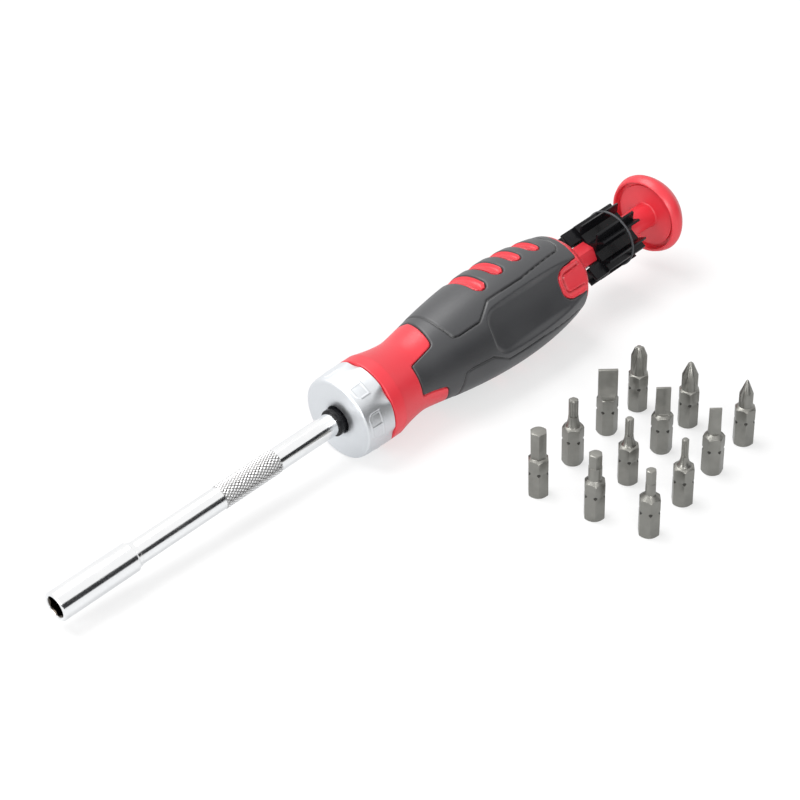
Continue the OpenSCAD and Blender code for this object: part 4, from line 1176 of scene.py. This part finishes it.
for kind in ("hex", "star", "slot", "cross"):
    for size in ("large", "medium", "small"):
        name = f"bit_{kind}_{size}"
        bit = crisp_copy(name, 0.1, 2, angle=28)
        # Painted shade on the notches' faces
        mark_cut(bit, "FACE", [is_notch(face) for face in bit.data.polygons])
        hand_over(bit, name)

# %% [markdown]
# ## Floor
# The photograph is a cut-out on plain white, but a shadow shows how the driver lies, so the floor
# keeps one. Light Path gives the floor a glow that the camera, reflections and clear pieces see
# and the object isn't lit by. The camera sees it white, and reflections see it a light grey,
# because a chromed bar over pure white loses its lower side.

# %% Floor
FLOOR_SIZE = 6
GLOW_SHARE = 0.6
SEEN_RAYS = ("Is Camera Ray", "Is Glossy Ray", "Is Transmission Ray")


def seen(tree, path):
    # 1 for the rays that look at a thing, and 0 for those that only gather its light
    first, *others = [path.outputs[ray] for ray in SEEN_RAYS]
    for other in others:
        first = add_node(tree, "ShaderNodeMath", {0: first, 1: other}, operation="MAXIMUM").outputs[0]
    return first


def white_stage():
    finish = bpy.data.materials.new("pale_stage")
    finish.use_nodes = True
    tree = finish.node_tree
    tree.nodes.clear()
    path = add_node(tree, "ShaderNodeLightPath")
    share = add_node(tree, "ShaderNodeMath", {0: seen(tree, path), 1: GLOW_SHARE},
                     operation="MULTIPLY")
    matt = add_node(tree, "ShaderNodeBsdfDiffuse", {"Color": linear("#F4F4F4")})
    shade = mix_colours(tree, path.outputs["Is Camera Ray"], linear("#DCDEE0"), linear("#FFFFFF"))
    glow = add_node(tree, "ShaderNodeEmission", {"Color": shade, "Strength": 1.0})
    mixed = add_node(tree, "ShaderNodeMixShader", {
        0: share.outputs[0], 1: matt.outputs[0], 2: glow.outputs[0],
    })
    add_node(tree, "ShaderNodeOutputMaterial", {"Surface": mixed.outputs[0]})
    return finish


bpy.ops.object.select_all(action="DESELECT")
bpy.ops.mesh.primitive_plane_add(size=FLOOR_SIZE, location=(0, 0, 0))
floor = bpy.context.object
floor.name = "stage_floor"
floor.data.materials.append(white_stage())
print("made", floor.name)

# %% [markdown]
# ## White room and lights
# The room is white too, to the camera and in reflections, and lights the object at less than half
# of that, for the photograph's even light. A wide key light hangs above and behind the object, a
# second light stands on the camera's side, and a weak third one is in front of the shaft's tip.

# %% White room and lights
ROOM_LEVEL = 0.45
# All lights aim at this point, between the driver and its bits
LIGHT_AIM = (0.03, 0, 0)

world = bpy.data.worlds.new("white_room")
bpy.context.scene.world = world
world.use_nodes = True
room = world.node_tree
room.nodes.clear()
room_seen = seen(room, add_node(room, "ShaderNodeLightPath"))
level = add_node(room, "ShaderNodeMapRange", {"Value": room_seen, "To Min": ROOM_LEVEL, "To Max": 1.0})
walls = add_node(room, "ShaderNodeBackground", {
    "Color": linear("#FFFFFF"), "Strength": level.outputs["Result"],
})
add_node(room, "ShaderNodeOutputWorld", {"Surface": walls.outputs[0]})


def soft_light(name, place, size, watts):
    bpy.ops.object.light_add(type="AREA", location=place)
    lamp = bpy.context.object
    lamp.name = name
    lamp.data.shape = "RECTANGLE"
    lamp.data.size, lamp.data.size_y = size
    lamp.data.energy = watts
    lamp.rotation_euler = (Vector(LIGHT_AIM) - Vector(place)).to_track_quat("-Z", "Y").to_euler()
    print(name, "gives", watts, "W")


soft_light("key_light", (-0.1, 0.45, 0.95), (0.9, 0.6), 9)
soft_light("side_light", (-0.6, -0.9, 0.6), (0.5, 0.5), 8)
soft_light("front_light", (-1.0, 0.1, 0.4), (0.5, 0.5), 4)

# %% [markdown]
# ## A dark card for the metal
# Polished metal in a white room is white on white. A photographer stands a long dark card in
# front, low down, and its reflection draws the crisp dark line along a chromed bar that says
# metal. Only reflections see this card: it is hidden from the camera and throws no shadow.

# %% Dark card
# In metres: its place in front, its lower and upper edge, and half its length
CARD_AWAY, CARD_LOW, CARD_HIGH, CARD_HALF = 0.55, 0.02, 0.44, 1.6

bpy.ops.object.select_all(action="DESELECT")
bpy.ops.mesh.primitive_plane_add(size=1, location=(0, -CARD_AWAY, (CARD_LOW + CARD_HIGH) / 2))
card = bpy.context.object
card.name = "stage_dark_card"
card.rotation_euler = (math.pi / 2, 0, 0)
card.scale = (2 * CARD_HALF, CARD_HIGH - CARD_LOW, 1)
bpy.ops.object.transform_apply(location=True, rotation=True, scale=True)
card.data.materials.append(new_finish("dark_card", "#1C1D20", 0.0, 1.0)[0])
for ray in ("camera", "diffuse", "shadow", "transmission", "volume_scatter"):
    setattr(card, "visible_" + ray, False)
print("dark card stands", CARD_AWAY, "m in front")
